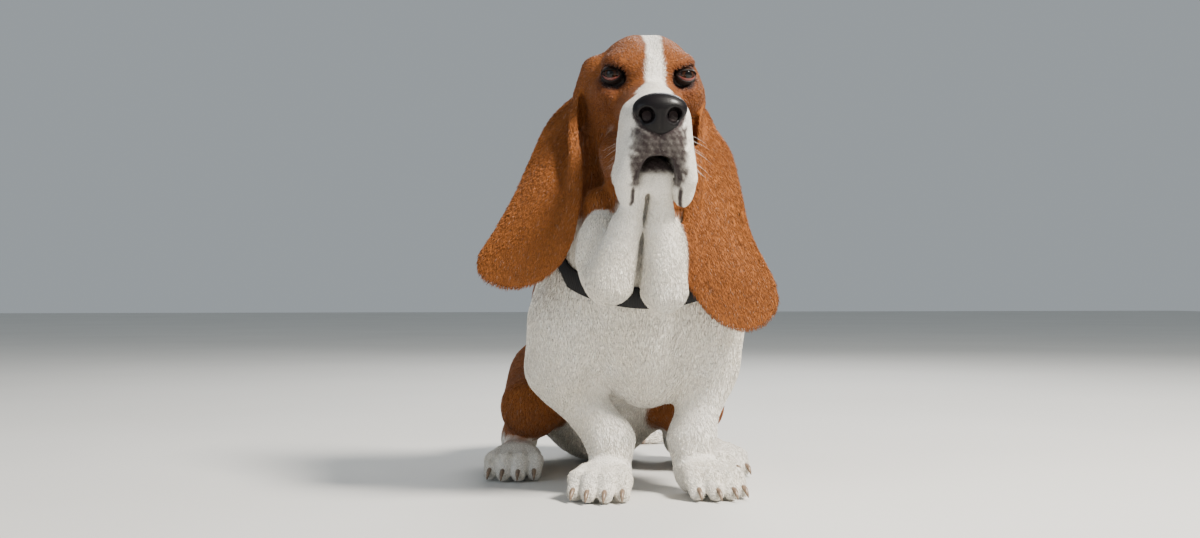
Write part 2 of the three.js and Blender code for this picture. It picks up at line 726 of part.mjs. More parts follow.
node("head", headNode, tan);
node("lower_jaw", jawSolid, white);
node("nose", noseSolid, dark);
for (const name of Object.keys(side)) node(`eye_${name}`, eyes[name], dark);
for (const name of Object.keys(side)) node(`ear_${name}`, ear[name], tan);
node("neck", neckNode, tan);
node("dewlap", dewlapNode, white);
node("collar", collarNode, black);
node("torso", torsoNode, white);
for (const [name, s] of Object.entries(side)) {
  const legBox = [[s < 0 ? -150 : 0, -110, -20], [s < 0 ? 30 : 150, 100, 250]];
  const legFlesh = carve(wholeField, ...legBox, 9, 700);
  node(`foreleg_${name}`, legFlesh.intersect(foreleg(s, half)).subtract(wristCut(s, -half)), white);
  const pawFlesh = carve(wholeField, ...legBox.map(([x, y, z]) => [x, y, Math.min(z, 90)]), 5, 640);
  const paw = pawFlesh.intersect(foreleg(s, half)).intersect(wristCut(s, half));
  node(`forepaw_${name}`, claws(forelegs[name]).reduce((all, claw) => all.add(claw), paw), white);
  const hindBox = [[s < 0 ? -180 : 60, 100, -20], [s < 0 ? -60 : 180, 450, 240]];
  const thigh = carve(wholeField, ...hindBox, 11, 600);
  node(`hind_leg_${name}`, thigh.intersect(hindLeg(s, half)).subtract(hindFootRegion(s, -half)), tan);
  const footFlesh = carve(wholeField, [hindBox[0][0], 90, -20], [hindBox[1][0], 240, 70], 5, 640);
  const foot = footFlesh.intersect(hindFootRegion(s, half));
  node(`hind_paw_${name}`, claws(hindPaws[name]).reduce((all, claw) => all.add(claw), foot), white);
}
const tailFlesh = carve(wholeField, [-60, 390, -20], [180, 590, 120], 7, 420);
node("tail", tailFlesh.intersect(front(tailRoot.point, tailRoot.normal, half)), tan);

const group = new THREE.Group();
nodes.forEach((mesh) => group.add(mesh));
const whole = new THREE.Box3().setFromObject(group);
group.position.set(-(whole.min.x + whole.max.x) / 2, -(whole.min.y + whole.max.y) / 2, -whole.min.z);
export default group;
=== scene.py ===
"""A basset hound that sits and looks ahead, dressed over its solid frame: one skin, a short coat of
mesh tufts, eyes, nose, claws, whiskers and a webbing collar. Sizes are in millimetres until a mesh
is made, and the dog faces -Y with its left side at +X."""

import math

import bpy
import numpy as np
from mathutils import Euler, Matrix, Vector
from mathutils.bvhtree import BVHTree


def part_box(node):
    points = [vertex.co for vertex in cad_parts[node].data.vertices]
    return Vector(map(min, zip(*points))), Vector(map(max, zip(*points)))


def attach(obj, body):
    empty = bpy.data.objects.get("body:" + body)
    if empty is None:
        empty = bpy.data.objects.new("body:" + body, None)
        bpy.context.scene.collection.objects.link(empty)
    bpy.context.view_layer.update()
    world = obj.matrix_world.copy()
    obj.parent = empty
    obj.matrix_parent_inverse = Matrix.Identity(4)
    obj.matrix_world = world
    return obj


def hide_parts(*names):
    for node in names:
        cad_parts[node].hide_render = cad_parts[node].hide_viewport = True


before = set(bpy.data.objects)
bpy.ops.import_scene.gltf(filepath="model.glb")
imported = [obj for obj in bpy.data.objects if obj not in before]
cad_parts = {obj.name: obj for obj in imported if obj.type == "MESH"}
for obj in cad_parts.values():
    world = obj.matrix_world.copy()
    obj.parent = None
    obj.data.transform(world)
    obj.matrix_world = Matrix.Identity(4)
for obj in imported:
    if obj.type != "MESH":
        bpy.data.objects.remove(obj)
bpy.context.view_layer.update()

MM = 0.001
EYE_LEVEL = 502
EYE_FORWARD = 65
EYE_RISE = 4
EYE_SPACING = 85
EYE_RADIUS = 13
EYE_SPLAY = 18
HEAD_TURN = -5
HEAD_NOD = 9
COLLAR_FRONT = np.array([0, -95, 240.0])
COLLAR_SLOPE = 30
COLLAR_WIDTH = 25
COLLAR_TO_MIDDLE = 100  # from the collar's front, in its own plane, to the middle of the neck
COAT_DEPTH = 2.0  # how far the skin lies inside the solid frame
SKIN_CELL = 2.0
SKIN_FACES = 190000
TUFTS = 238000
TUFTS_A_PIECE = 32000
CAMERA_PLACE = (-284.4, -1697, 250)
CAMERA_TURN = 8
CAMERA_PITCH = 0.86

HEAD = (
    Matrix.Translation((3, -EYE_FORWARD, EYE_LEVEL))
    @ Matrix.Rotation(math.radians(HEAD_TURN), 4, "Z")
    @ Matrix.Rotation(math.radians(HEAD_NOD), 4, "X")
)
HEAD_ROWS = np.array(HEAD)
HEAD_BACK = np.array(HEAD.inverted())


def in_head(points):
    """Points of the dog's frame, in the head's own."""
    return points @ HEAD_BACK[:3, :3].T + HEAD_BACK[:3, 3]


def from_head(point):
    """Back from the head's own frame to the dog's."""
    return np.array(point) @ HEAD_ROWS[:3, :3].T + HEAD_ROWS[:3, 3]


def collar_normal():
    """Square to the collar's plane, which rises to the back of the neck."""
    slope = math.radians(COLLAR_SLOPE)
    return np.array([0, -math.sin(slope), math.cos(slope)])


def frame_shift():
    """From the dog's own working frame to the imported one, read off the right eye."""
    low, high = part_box("eye_right")
    middle = (np.array(low) + np.array(high)) / 2 / MM
    return middle - from_head((-EYE_SPACING / 2, 0, EYE_RISE))


SHIFT = frame_shift()

# Forms of flesh, as distances


def limb(p, a, b, radius_a, radius_b):
    """Distance to a round limb from one ball to another."""
    a = np.array(a, dtype=p.dtype)
    along = np.array(b, dtype=p.dtype) - a
    t = np.clip((p - a) @ along / (along @ along), 0, 1)
    off = p - a - t[:, None] * along
    return np.sqrt(np.einsum("ij,ij->i", off, off)) - radius_a - t * (radius_b - radius_a)


def ball(p, centre, radii):
    """About the distance to a ball with its own radius each way."""
    q = p - np.array(centre, dtype=p.dtype)
    r = np.array(radii, dtype=p.dtype)
    near = np.sqrt((q * q / (r * r)).sum(1))
    steep = np.sqrt((q * q / r**4).sum(1))
    return near * (near - 1) / np.maximum(steep, 1e-6)


def blend(a, b, reach):
    """Two forms as one, with a fillet where they meet."""
    h = np.maximum(reach - np.abs(a - b), 0)
    return np.minimum(a, b) - h * h / (4 * reach)


def blended(p, forms):
    """Forms run together in turn, each by the reach it ends with."""
    total = None
    for kind, *sizes, reach in forms:
        d = kind(p, *sizes)
        total = d if total is None else blend(total, d, reach)
    return total


def mirrored(p):
    """Points folded onto the left side, for forms that both sides have."""
    return np.column_stack([np.abs(p[:, 0]), p[:, 1], p[:, 2]])


def without(a, b, reach):
    """A form with another cut out of it, and the edge rounded."""
    return -blend(-a, b, reach)


SKULL_MIDDLE = [
    (ball, (0, 52, 6), (58, 78, 48), 12),
    (ball, (0, -144, -66), (20, 15, 19), 10),
    (ball, (0, 118, 24), (22, 24, 20), 22),
    (limb, (0, -10, -25), (0, -130, -37), 25, 20, 16),
    (limb, (0, 20, -84), (0, -50, -88), 38, 28, 20),
]
SKULL_SIDES = [
    (ball, (33, 4, 17), (24, 24, 15), 12),
    (ball, (46, 30, -20), (25, 42, 27), 18),
    (ball, (44, 64, -46), (31, 48, 54), 22),
    (limb, (15, -12, -38), (13, -132, -44), 27, 22, 16),
    (limb, (14, -146, -60), (36, -128, -110), 16, 10, 9),
    (ball, (30, -92, -86), (15, 50, 56), 12),
    (ball, (32, -106, -112), (15, 22, 33), 12),
    (limb, (31, -64, -112), (38, -8, -88), 17, 20, 16),
]
EAR_ROOTS = [
    (limb, (-60, 48, 6), (-72, 62, -24), 20, 17, 16),
    (limb, (44, 50, 0), (51, 62, -28), 18, 15, 16),
]
JAW = [
    (limb, (0, 20, -96), (0, -104, -106), 26, 17, 10),
    (ball, (0, -114, -108), (22, 15, 21), 8),
]
CHIN_CLEFT = [(limb, (-6, -134, -98), (-13, -128, -134), 3.0, 5.0, 1)]
LIP_EDGE = [
    (0, -150, -84), (15, -143, -91), (29, -132, -113), (26, -124, -130),
    (29, -108, -144), (33, -90, -143), (33, -66, -134), (38, -30, -112),
]
NOSE_PAD = [
    (ball, (0, -150, -33), (30, 16, 18), 8),
    (ball, (0, -152, -49), (20, 13, 13), 8),
]
NOSTRILS = [
    (ball, (15.5, -164, -39), (8.5, 15, 8.5), 3),
    (limb, (20, -163, -43), (32, -148, -52), 5, 3, 4),
]
TRUNK = [
    (ball, (0, -2, 246), (92, 78, 96), 12),
    (ball, (14, 12, 182), (58, 66, 78), 40),
    (limb, (0, 22, 262), (0, 150, 226), 104, 107, 40),
    (limb, (0, 150, 226), (0, 272, 158), 107, 94, 40),
    (ball, (0, 345, 105), (98, 92, 106), 40),
    (ball, (0, 80, 330), (60, 72, 50), 40),
    (limb, (0, 35, 330), (2, 14, 425), 84, 68, 40),
    (limb, (1, 38, 445), (0, 100, 350), 54, 60, 40),
    (limb, (-3, -66, 388), (-8, -44, 290), 42, 56, 30),
]
SHOULDERS = [
    (ball, (84, 22, 205), (44, 70, 96), 12),
    (limb, (92, -5, 212), (95, 32, 156), 38, 33, 30),
]
THIGHS = [
    (limb, (70, 345, 118), (112, 198, 94), 64, 40, 12),
    (limb, (112, 192, 88), (118, 320, 44), 34, 25, 20),
    (limb, (118, 322, 30), (130, 200, 26), 24, 24, 14),
]
TAIL = [
    (0, 400, 70, 30),
    (4, 446, 34, 23),
    (26, 492, 19, 18),
    (66, 532, 15, 15),
    (112, 552, 11, 11),
    (156, 550, 7, 7),
]
FORELEGS = [
    {"elbow": (-96, 30, 152), "wrist": (-33, 2, 66), "paw": (-46, -30), "heading": -18},
    {"elbow": (95, 30, 158), "wrist": (69, 3, 66), "paw": (80, -30), "heading": 14},
]
HIND_PAWS = [{"paw": (-134, 172), "heading": -14}, {"paw": (134, 172), "heading": 14}]
TOE_SPREAD = (-27, -9.5, 9.5, 27)
TOE_LENGTH = (34, 46, 46, 34)
DEWLAP = [
    ((-25, -150, 362, 12), (-34, -128, 322, 19), (-50, -104, 262, 31)),
    ((2, -152, 362, 13), (6, -128, 318, 20), (14, -108, 251, 29)),
]
THROAT_FOLDS = [(ball, (-56, -86, 292), (32, 22, 50), 12), (ball, (20, -96, 290), (27, 20, 46), 12)]
SIDE_FOLDS = [
    (limb, (-56, -66, 350), (-64, -54, 292), 22, 25, 12),
    (limb, (44, -72, 350), (54, -58, 292), 22, 25, 12),
]


def on_paw(place, x, y, z):
    """A point given from a paw's own middle, ahead along -Y, in the dog's frame."""
    turn = math.radians(place["heading"])
    px, py = place["paw"]
    return (
        px + x * math.cos(turn) - y * math.sin(turn),
        py + x * math.sin(turn) + y * math.cos(turn),
        z,
    )


def toe_line(place, i):
    x, reach = TOE_SPREAD[i], TOE_LENGTH[i]
    return (
        on_paw(place, 0.75 * x, 0, 30),
        on_paw(place, x, -0.62 * reach, 25),
        on_paw(place, 1.06 * x, -reach, 10),
    )


def paw_forms(place):
    """The pad and the four toes, each a limb to the knuckle and one to the tip."""
    forms = [(ball, on_paw(place, 0, 10, 22), (34, 34, 25), 12)]
    for i in range(4):
        root, knuckle, tip = toe_line(place, i)
        forms += [(limb, root, knuckle, 14, 13, 5), (limb, knuckle, tip, 13, 11, 5)]
    return forms


def forearm(leg):
    x, y, z = leg["wrist"]
    return [
        (limb, leg["elbow"], leg["wrist"], 33, 27, 26),
        (limb, leg["wrist"], (x, y - 6, z - 30), 30, 26, 14),
    ]


def head_field(p):
    """The head with its furrow, eye sockets and the cut of the mouth."""
    h = in_head(p)
    side = mirrored(h)
    skull = blend(blended(h, SKULL_MIDDLE), blended(side, SKULL_SIDES), 14)
    skull = blend(skull, blended(h, EAR_ROOTS), 16)
    skull = without(skull, limb(h, (0, -14, 46), (0, 60, 68), 12, 12), 10)
    skull = without(skull, ball(side, (EYE_SPACING / 2, -6, 2), (16, 12, 12)), 6)
    mouth = np.maximum(blended(h, JAW) + 1.5, h[:, 1] + 70)
    return without(skull, mouth, 3)


def chain(line, reach):
    """Limbs from each point of a line to the next. A point's fourth number is its radius."""
    return [(limb, a[:3], b[:3], a[3], b[3], reach) for a, b in zip(line, line[1:])]


def body_parts(p):
    """The distance to each part of the body, by the name of the part."""
    side = mirrored(p)
    return {
        "trunk": blended(p, TRUNK),
        "shoulder": blended(side, SHOULDERS),
        "thigh": blended(side, THIGHS),
        "foreleg": np.minimum(*(blended(p, forearm(leg)) for leg in FORELEGS)),
        "forepaw": np.minimum(*(blended(p, paw_forms(leg)) for leg in FORELEGS)),
        "hind_paw": np.minimum(*(blended(p, paw_forms(paw)) for paw in HIND_PAWS)),
        "tail": blended(p, chain(TAIL, 14)),
        "head": head_field(p),
    }


# Ears: the middle of the leather, from a front and a rear edge

EARS = {
    "right": {
        "side": -1,
        "front": [
            (-60, 0, 498), (-72, -16, 489), (-77, -30, 462), (-78, -44, 432),
            (-76, -62, 398), (-80, -78, 356), (-92, -86, 302), (-107, -84, 252),
        ],
        "rear": [
            (-58, 50, 500), (-74, 51, 491), (-103, 40, 462), (-125, 18, 420),
            (-150, -10, 366), (-176, -33, 321), (-196, -44, 290), (-211, -50, 257),
        ],
        "hollow": (10, 12, 8, 2, -5, -8, -8, -6),
        "valley": (0, 6, 12, 14, 10, 4, 0, 0),
        "roll": (0, 4, 8, 9, 8, 4, 2, 0),
    },
    "left": {
        "side": 1,
        "front": [
            (58, -15, 490), (72, -36, 479), (66, -55, 447), (60, -72, 410),
            (50, -86, 368), (39, -96, 323), (41, -100, 268), (54, -100, 209),
        ],
        "rear": [
            (62, 40, 488), (89, 28, 479), (100, 11, 452), (113, -16, 420),
            (118, -42, 378), (125, -66, 320), (153, -88, 250), (160, -94, 203),
        ],
        "hollow": (12, 16, 14, 6, -4, -8, -8, -6),
        "valley": (0, 2, 4, 4, 3, 0, 0, 0),
        "roll": (0, 2, 4, 5, 5, 3, 2, 0),
    },
}
EAR_ACROSS = 36
EAR_ALONG = 64
EAR_SHOULDER = 0.84
ROLL_AT, ROLL_REACH = 0.09, 0.07
VALLEY_AT, VALLEY_REACH = 0.3, 0.13
EAR_HALF = 3.6  # of the thickness, before the coat's depth comes off
FAR = 60.0  # a distance that stands for anywhere out of reach


def spline(points, t):
    """A centripetal Catmull-Rom curve through the points."""
    points = np.array(points, dtype=float)
    count = len(points) - 1
    place = np.clip(t, 0, 1) * count
    i = np.minimum(place.astype(int), count - 1)
    w = (place - i)[:, None]
    ends = np.vstack([2 * points[0] - points[1], points, 2 * points[-1] - points[-2]])
    p0, p1, p2, p3 = (ends[i + k] for k in range(4))
    d01, d12, d23 = (
        np.maximum(np.sum((b - a) ** 2, 1) ** 0.25, 1e-6)[:, None]
        for a, b in ((p0, p1), (p1, p2), (p2, p3))
    )
    t1 = ((p1 - p0) / d01 - (p2 - p0) / (d01 + d12) + (p2 - p1) / d12) * d12
    t2 = ((p2 - p1) / d12 - (p3 - p1) / (d12 + d23) + (p3 - p2) / d23) * d12
    a = 2 * p1 - 2 * p2 + t1 + t2
    b = -3 * p1 + 3 * p2 - 2 * t1 - t2
    return a * w**3 + b * w**2 + t1 * w + p1


def ear_middle(ear, u, t):
    """Points in the middle of the leather: u from the front edge to the rear, t down the ear."""
    v = t * (EAR_SHOULDER + (1 - EAR_SHOULDER) * np.sqrt(np.maximum(0, 1 - (2 * u - 1) ** 2)))
    a, b = spline(ear["front"], v), spline(ear["rear"], v)
    across = b - a
    out = np.cross(across, (0, 0, 1.0))
    out /= np.linalg.norm(out, axis=1)[:, None]
    marks = np.linspace(0, 1, 8)
    swell = np.interp(v, marks, ear["roll"]) * np.exp(-(((u - ROLL_AT) / ROLL_REACH) ** 2))
    swell -= np.interp(v, marks, ear["valley"]) * np.exp(-(((u - VALLEY_AT) / VALLEY_REACH) ** 2))
    swell -= np.interp(v, marks, ear["hollow"]) * 4 * u * (1 - u)
    return a + across * u[:, None] + ear["side"] * swell[:, None] * out


def ear_tree(ear):
    """The middle of an ear's leather as points, and as a sheet to measure from."""
    u, t = np.meshgrid(np.linspace(0, 1, EAR_ACROSS + 1), np.linspace(0, 1, EAR_ALONG + 1))
    points = ear_middle(ear, u.ravel(), t.ravel())
    wide = EAR_ACROSS + 1
    quads = [
        (j * wide + i, j * wide + i + 1, (j + 1) * wide + i + 1, (j + 1) * wide + i)
        for j in range(EAR_ALONG)
        for i in range(EAR_ACROSS)
    ]
    return points, BVHTree.FromPolygons([Vector(p) for p in points], quads)


EAR_MIDDLES = {name: ear_tree(ear) for name, ear in EARS.items()}


def ear_field(p, band=16):
    """Distance to the nearer ear's leather, measured only close to it."""
    out = np.full(len(p), FAR, dtype=p.dtype)
    for points, tree in EAR_MIDDLES.values():
        low, high = points.min(0) - band, points.max(0) + band
        near = np.flatnonzero(((p > low) & (p < high)).all(1))
        for i in near:
            hit = tree.find_nearest(Vector(p[i]), band)
            if hit[0] is not None:
                out[i] = min(out[i], hit[3] - EAR_HALF)
    return out


def flesh_parts(p):
    """The distances to the body's parts and to the soft ones that hang on it."""
    parts = body_parts(p)
    parts["side_fold"] = blended(p, SIDE_FOLDS)
    lobes = blend(*(blended(p, chain(lobe, 6)) for lobe in DEWLAP), 5)
    parts["dewlap"] = blend(lobes, blended(p, THROAT_FOLDS), 12)
    h = in_head(p)
    parts["jaw"] = without(blended(h, JAW), blended(h, CHIN_CLEFT), 5)
    parts["ear"] = ear_field(p)
    return parts


def flesh(p):
    """The distance to the whole dog. The lips hang free of the throat, the skull runs into it."""
    parts = flesh_parts(p)
    legs = blend(parts["shoulder"], parts["thigh"], 20)
    fore = blend(parts["foreleg"], parts["forepaw"], 12)
    legs = blend(blend(legs, fore, 24), parts["hind_paw"], 14)
    body = blend(blend(parts["trunk"], legs, 26), parts["tail"], 18)
    throat = blend(parts["dewlap"], parts["jaw"], 10)
    body = blend(blend(body, parts["side_fold"], 16), throat, 10)
    body = blend(body, parts["head"], 2 + 22 * smooth_step(-80, -30, in_head(p)[:, 1]))
    return blend(body, parts["ear"], 7)


# A mesh of where the field is zero: a vertex in each crossed cell, a quad across each crossed edge

LOW = np.array([-225, -240, -22.0])
HIGH = np.array([185, 575, 575.0])
BLOCK = 4  # cells along a block's side


def lattice(counts):
    """Every whole place in a box of so many each way, the last counted fastest."""
    return np.stack(np.meshgrid(*map(np.arange, counts), indexing="ij"), -1).reshape(-1, 3)


def skin_net(cell, level):
    """The whole dog's mesh: the field is read coarsely, and finely only in blocks near the skin."""
    counts = np.ceil((HIGH - LOW) / (cell * BLOCK)).astype(int)
    ids = lattice(counts)
    middles = (LOW + (ids + 0.5) * cell * BLOCK).astype(np.float32)
    near = []
    for part in np.array_split(np.arange(len(ids)), 8):
        near.append(np.abs(flesh(middles[part]) - level))
    half_diagonal = cell * BLOCK * 0.9
    ids = ids[np.concatenate(near) < half_diagonal + 3]
    nodes = (ids[:, None] * BLOCK + lattice([BLOCK + 1] * 3)).reshape(-1, 3)
    size = counts * BLOCK + 1
    flat = (nodes[:, 0] * size[1] + nodes[:, 1]) * size[2] + nodes[:, 2]
    flat = np.unique(flat)
    grid = np.full(size.prod(), FAR, dtype=np.float32)
    place = np.stack(np.unravel_index(flat, size), -1)
    points = (LOW + place * cell).astype(np.float32)
    for part in np.array_split(np.arange(len(flat)), 10):
        value = flesh(points[part]) - level
        floor = -points[part][:, 2] + COAT_DEPTH * 0.5
        grid[flat[part]] = np.maximum(value, floor)
    return net(grid.reshape(size), np.unique(ids, axis=0), BLOCK, cell, LOW)


def small_net(field, low, high, cell):
    """The same mesh of a small form, from a full grid."""
    low = np.array(low, dtype=float)
    size = np.ceil((np.array(high) - low) / cell).astype(int) + 1
    grid = field(low + lattice(size) * cell).reshape(size)
    return net(grid, lattice(size - 1), 1, cell, low)


def net(grid, blocks, block, cell, low):
    """Points and quads from the field at a grid's nodes, in the blocks given."""
    cells = (blocks[:, None] * block + lattice([block] * 3)).reshape(-1, 3)
    corners = lattice([2, 2, 2])
    values = np.stack([grid[tuple((cells + c).T)] for c in corners], 1)
    inside = values < 0
    crossed = inside.any(1) & ~inside.all(1)
    cells, values = cells[crossed], values[crossed]
    total = np.zeros((len(cells), 3))
    count = np.zeros(len(cells))
    for i in range(8):
        for j in range(i + 1, 8):
            if np.abs(corners[i] - corners[j]).sum() != 1:
                continue
            a, b = values[:, i], values[:, j]
            cut = (a < 0) != (b < 0)
            t = np.where(cut, a / np.where(cut, a - b, 1), 0)
            total += cut[:, None] * (corners[i] + t[:, None] * (corners[j] - corners[i]))
            count += cut
    points = low + (cells + total / count[:, None]) * cell
    number = np.full(grid.shape, -1, dtype=np.int64)
    number[tuple(cells.T)] = np.arange(len(cells))
    quads = []
    for axis in range(3):
        u, w = np.eye(3, dtype=int)[[(axis + 1) % 3, (axis + 2) % 3]]
        step = np.eye(3, dtype=int)[axis]
        a = grid[tuple(cells.T)]
        b = grid[tuple((cells + step).T)]
        cut = np.flatnonzero(((a < 0) != (b < 0)) & (cells.min(1) > 0))
        here = cells[cut]
        ring = np.stack([number[tuple((here - d).T)] for d in (0 * u, u, u + w, w)], 1)
        ring = np.where((a[cut] < 0)[:, None], ring, ring[:, ::-1])
        quads.append(ring[(ring >= 0).all(1)])
    return points, np.concatenate(quads)


# Making meshes


def to_linear(code):
    """An sRGB hex value as linear red, green and blue."""
    parts = [int(code[i : i + 2], 16) / 255 for i in (1, 3, 5)]
    return [c / 12.92 if c <= 0.04045 else ((c + 0.055) / 1.055) ** 2.4 for c in parts]


def in_scene(name, data):
    """A mesh, light or camera as an object in the scene."""
    thing = bpy.data.objects.new(name, data)
    bpy.context.scene.collection.objects.link(thing)
    return thing


def make_piece(name, points, faces, material):
    """A smooth piece in metres from points in the dog's own millimetres."""
    mesh = bpy.data.meshes.new(name)
    places = (np.asarray(points) + SHIFT) * MM
    mesh.from_pydata(places.tolist(), [], [list(face) for face in faces])
    mesh.materials.append(material)
    mesh.polygons.foreach_set("use_smooth", [True] * len(mesh.polygons))
    return in_scene(name, mesh)


def paint(mesh, name, colours):
    """A colour for each vertex, as an attribute that a material reads."""
    layer = mesh.attributes.new(name, "FLOAT_COLOR", "POINT")
    rgba = np.ones((len(mesh.vertices), 4), dtype=np.float32)
    rgba[:, :3] = colours
    layer.data.foreach_set("color", rgba.ravel())


def rows_of(items, name, width, kind=np.float32):
    """A value of each vertex, edge, triangle or corner of a mesh, as rows of an array."""
    flat = np.empty(len(items) * width, dtype=kind)
    items.foreach_get(name, flat)
    return flat.reshape(-1, width)


def ring_faces(rings, columns, start=0):
    """Quads between rings of points, each ring closed on itself."""
    faces = []
    for a in range(start, start + (rings - 1) * columns, columns):
        for j in range(columns):
            k = (j + 1) % columns
            faces.append((a + j, a + k, a + columns + k, a + columns + j))
    return faces


def smooth_step(low, high, x):
    t = np.clip((x - low) / (high - low), 0, 1)
    return t * t * (3 - 2 * t)


def unit(way):
    return way / np.linalg.norm(way)


def unit_rows(rows):
    return rows / np.maximum(np.linalg.norm(rows, axis=1), 1e-9)[:, None]


def mottle(p, size, seed):
    """A soft wandering value from -1 to 1 with features about so large, the same each run."""
    rng = np.random.default_rng(seed)
    total = np.zeros(len(p))
    for octave in range(3):
        for _ in range(4):
            way = rng.normal(size=3)
            way *= 2 * math.pi / size * 2**octave / np.linalg.norm(way) * rng.uniform(0.6, 1.2)
            total += np.sin(p @ way + rng.uniform(0, 6.28)) / 2**octave / 4
    return total


# Materials


def add(tree, kind, inputs=None, ramp=(), **settings):
    """A node of a kind, with its settings, its ramp's places and colours, and its inputs set or
    linked. A node given for an input stands for its first output."""
    node = tree.nodes.new(kind)
    for name, value in settings.items():
        setattr(node, name, value)
    for i, (place, colour) in enumerate(ramp):
        node.color_ramp.elements[i].position = place
        node.color_ramp.elements[i].color = (*colour, 1)
    for name, value in (inputs or {}).items():
        if isinstance(value, bpy.types.Node):
            value = value.outputs[0]
        if isinstance(value, bpy.types.NodeSocket):
            tree.links.new(value, node.inputs[name])
        else:
            node.inputs[name].default_value = value
    return node


def make_material(name, surface, *sizes):
    """A material with the nodes of surface(tree, *sizes), which returns the shader."""
    material = bpy.data.materials.new(name)
    material.use_nodes = True
    tree = material.node_tree
    tree.nodes.clear()
    add(tree, "ShaderNodeOutputMaterial", {"Surface": surface(tree, *sizes)})
    return material


def short_fur(tree, roughness, depth, grain_mm):
    """Short dog's fur: matt hair with a faint silky sheen along the coat. The colour comes from the
    markings that each vertex carries, broken by fine variation from hair to hair."""
    place = add(tree, "ShaderNodeTexCoord").outputs["Object"]
    marks = add(tree, "ShaderNodeAttribute", attribute_name="coat")
    hairs = {"Vector": place, "Scale": 1000 / grain_mm, "Detail": 2.0}
    grain = add(tree, "ShaderNodeTexNoise", hairs)
    span = {"From Min": 0.3, "From Max": 0.7, "To Min": 0.8, "To Max": 1.15}
    tone = add(tree, "ShaderNodeMapRange", {"Value": grain, **span})
    mixed = add(tree, "ShaderNodeVectorMath", {0: marks, "Scale": tone}, operation="SCALE")
    relief = {"Height": grain, "Strength": 0.5, "Distance": depth * MM}
    bump = add(tree, "ShaderNodeBump", relief)
    return add(tree, "ShaderNodeBsdfPrincipled", {
        "Base Color": mixed, "Normal": bump, "Roughness": roughness, "IOR": 1.5,
        "Specular IOR Level": 0.22, "Sheen Weight": 0.06, "Sheen Roughness": 0.4,
    })


SKIN_FUR = make_material("skin_under_short_fur", short_fur, 0.75, 0.6, 1.4)
COAT_FUR = make_material("short_fur_tufts", short_fur, 0.6, 0.2, 2.2)


# Markings, the same on the skin and the coat

RUST = to_linear("#965823")
DARK_RUST = to_linear("#6C3A1B")
WHITE = to_linear("#F4EFE6")
CREAM = to_linear("#E4D9C2")
LIP = to_linear("#2E2324")
GREY_LIP = to_linear("#473D3B")


def paint_over(base, colour, share):
    """Rows of colours with another laid over them, by a share of its own for each."""
    return base + (np.array(colour) - base) * share[:, None]


def white_on_head(h, parts, ripple):
    """The blaze runs from the crown, widens at the stop and covers the muzzle and the jaw."""
    x, y, z = h.T
    forward = y + 0.3 * (z + 55) + ripple * 1.6
    half = 8.5 + 2.5 * smooth_step(36, 52, z) + 12 * smooth_step(-10, -75, y)
    half += 60 * smooth_step(-72, -102, forward)
    off_middle = np.abs(x - 6 * smooth_step(-75, -50, y))
    white = smooth_step(3, -3, off_middle - half + ripple * 0.5) * smooth_step(95, 70, y)
    return np.maximum(white, smooth_step(2, -2, parts["jaw"] - 1.0))


def saddle_share(p, ripple):
    """The rust saddle, from behind the shoulder back, down to the lower flank."""
    y, z = p.T[1:]
    saddle = smooth_step(-14, 14, y - 62 - 0.35 * (330 - z) + ripple * 3)
    return saddle * smooth_step(-12, 12, z - 120 + 0.1 * (y - 150) + ripple * 3)


def rust_on_body(p, parts, saddle, ripple):
    """Rust on the saddle, the thighs, the back and sides of the neck, and the tail to its tip."""
    x, y, z = p.T
    thigh = smooth_step(4, -6, parts["thigh"] - parts["trunk"])
    thigh *= smooth_step(38, 58, z + ripple * 2) * smooth_step(165, 185, y + 0.4 * z + ripple)
    neck = smooth_step(-2, 6, (p - COLLAR_FRONT) @ collar_normal())
    neck *= smooth_step(210, 225, z + ripple)
    throat = smooth_step(104, 92, np.abs(x) + ripple) * smooth_step(345, 325, z + ripple)
    throat = np.maximum(throat, smooth_step(34, 26, np.abs(x + 8) + ripple))
    neck *= 1 - throat * smooth_step(-6, -26, y)
    rust = np.clip(np.maximum.reduce([saddle, thigh, neck]), 0, 1)
    rust *= 1 - smooth_step(4, 0, parts["dewlap"])
    rust *= 1 - smooth_step(3, -3, np.minimum(parts["hind_paw"], parts["forepaw"]))
    tail = smooth_step(8, -2, parts["tail"] - parts["trunk"])
    tip = smooth_step(88, 104, x + ripple) * smooth_step(480, 500, y)
    return np.maximum(rust, tail * (1 - tip)) * (1 - tip)


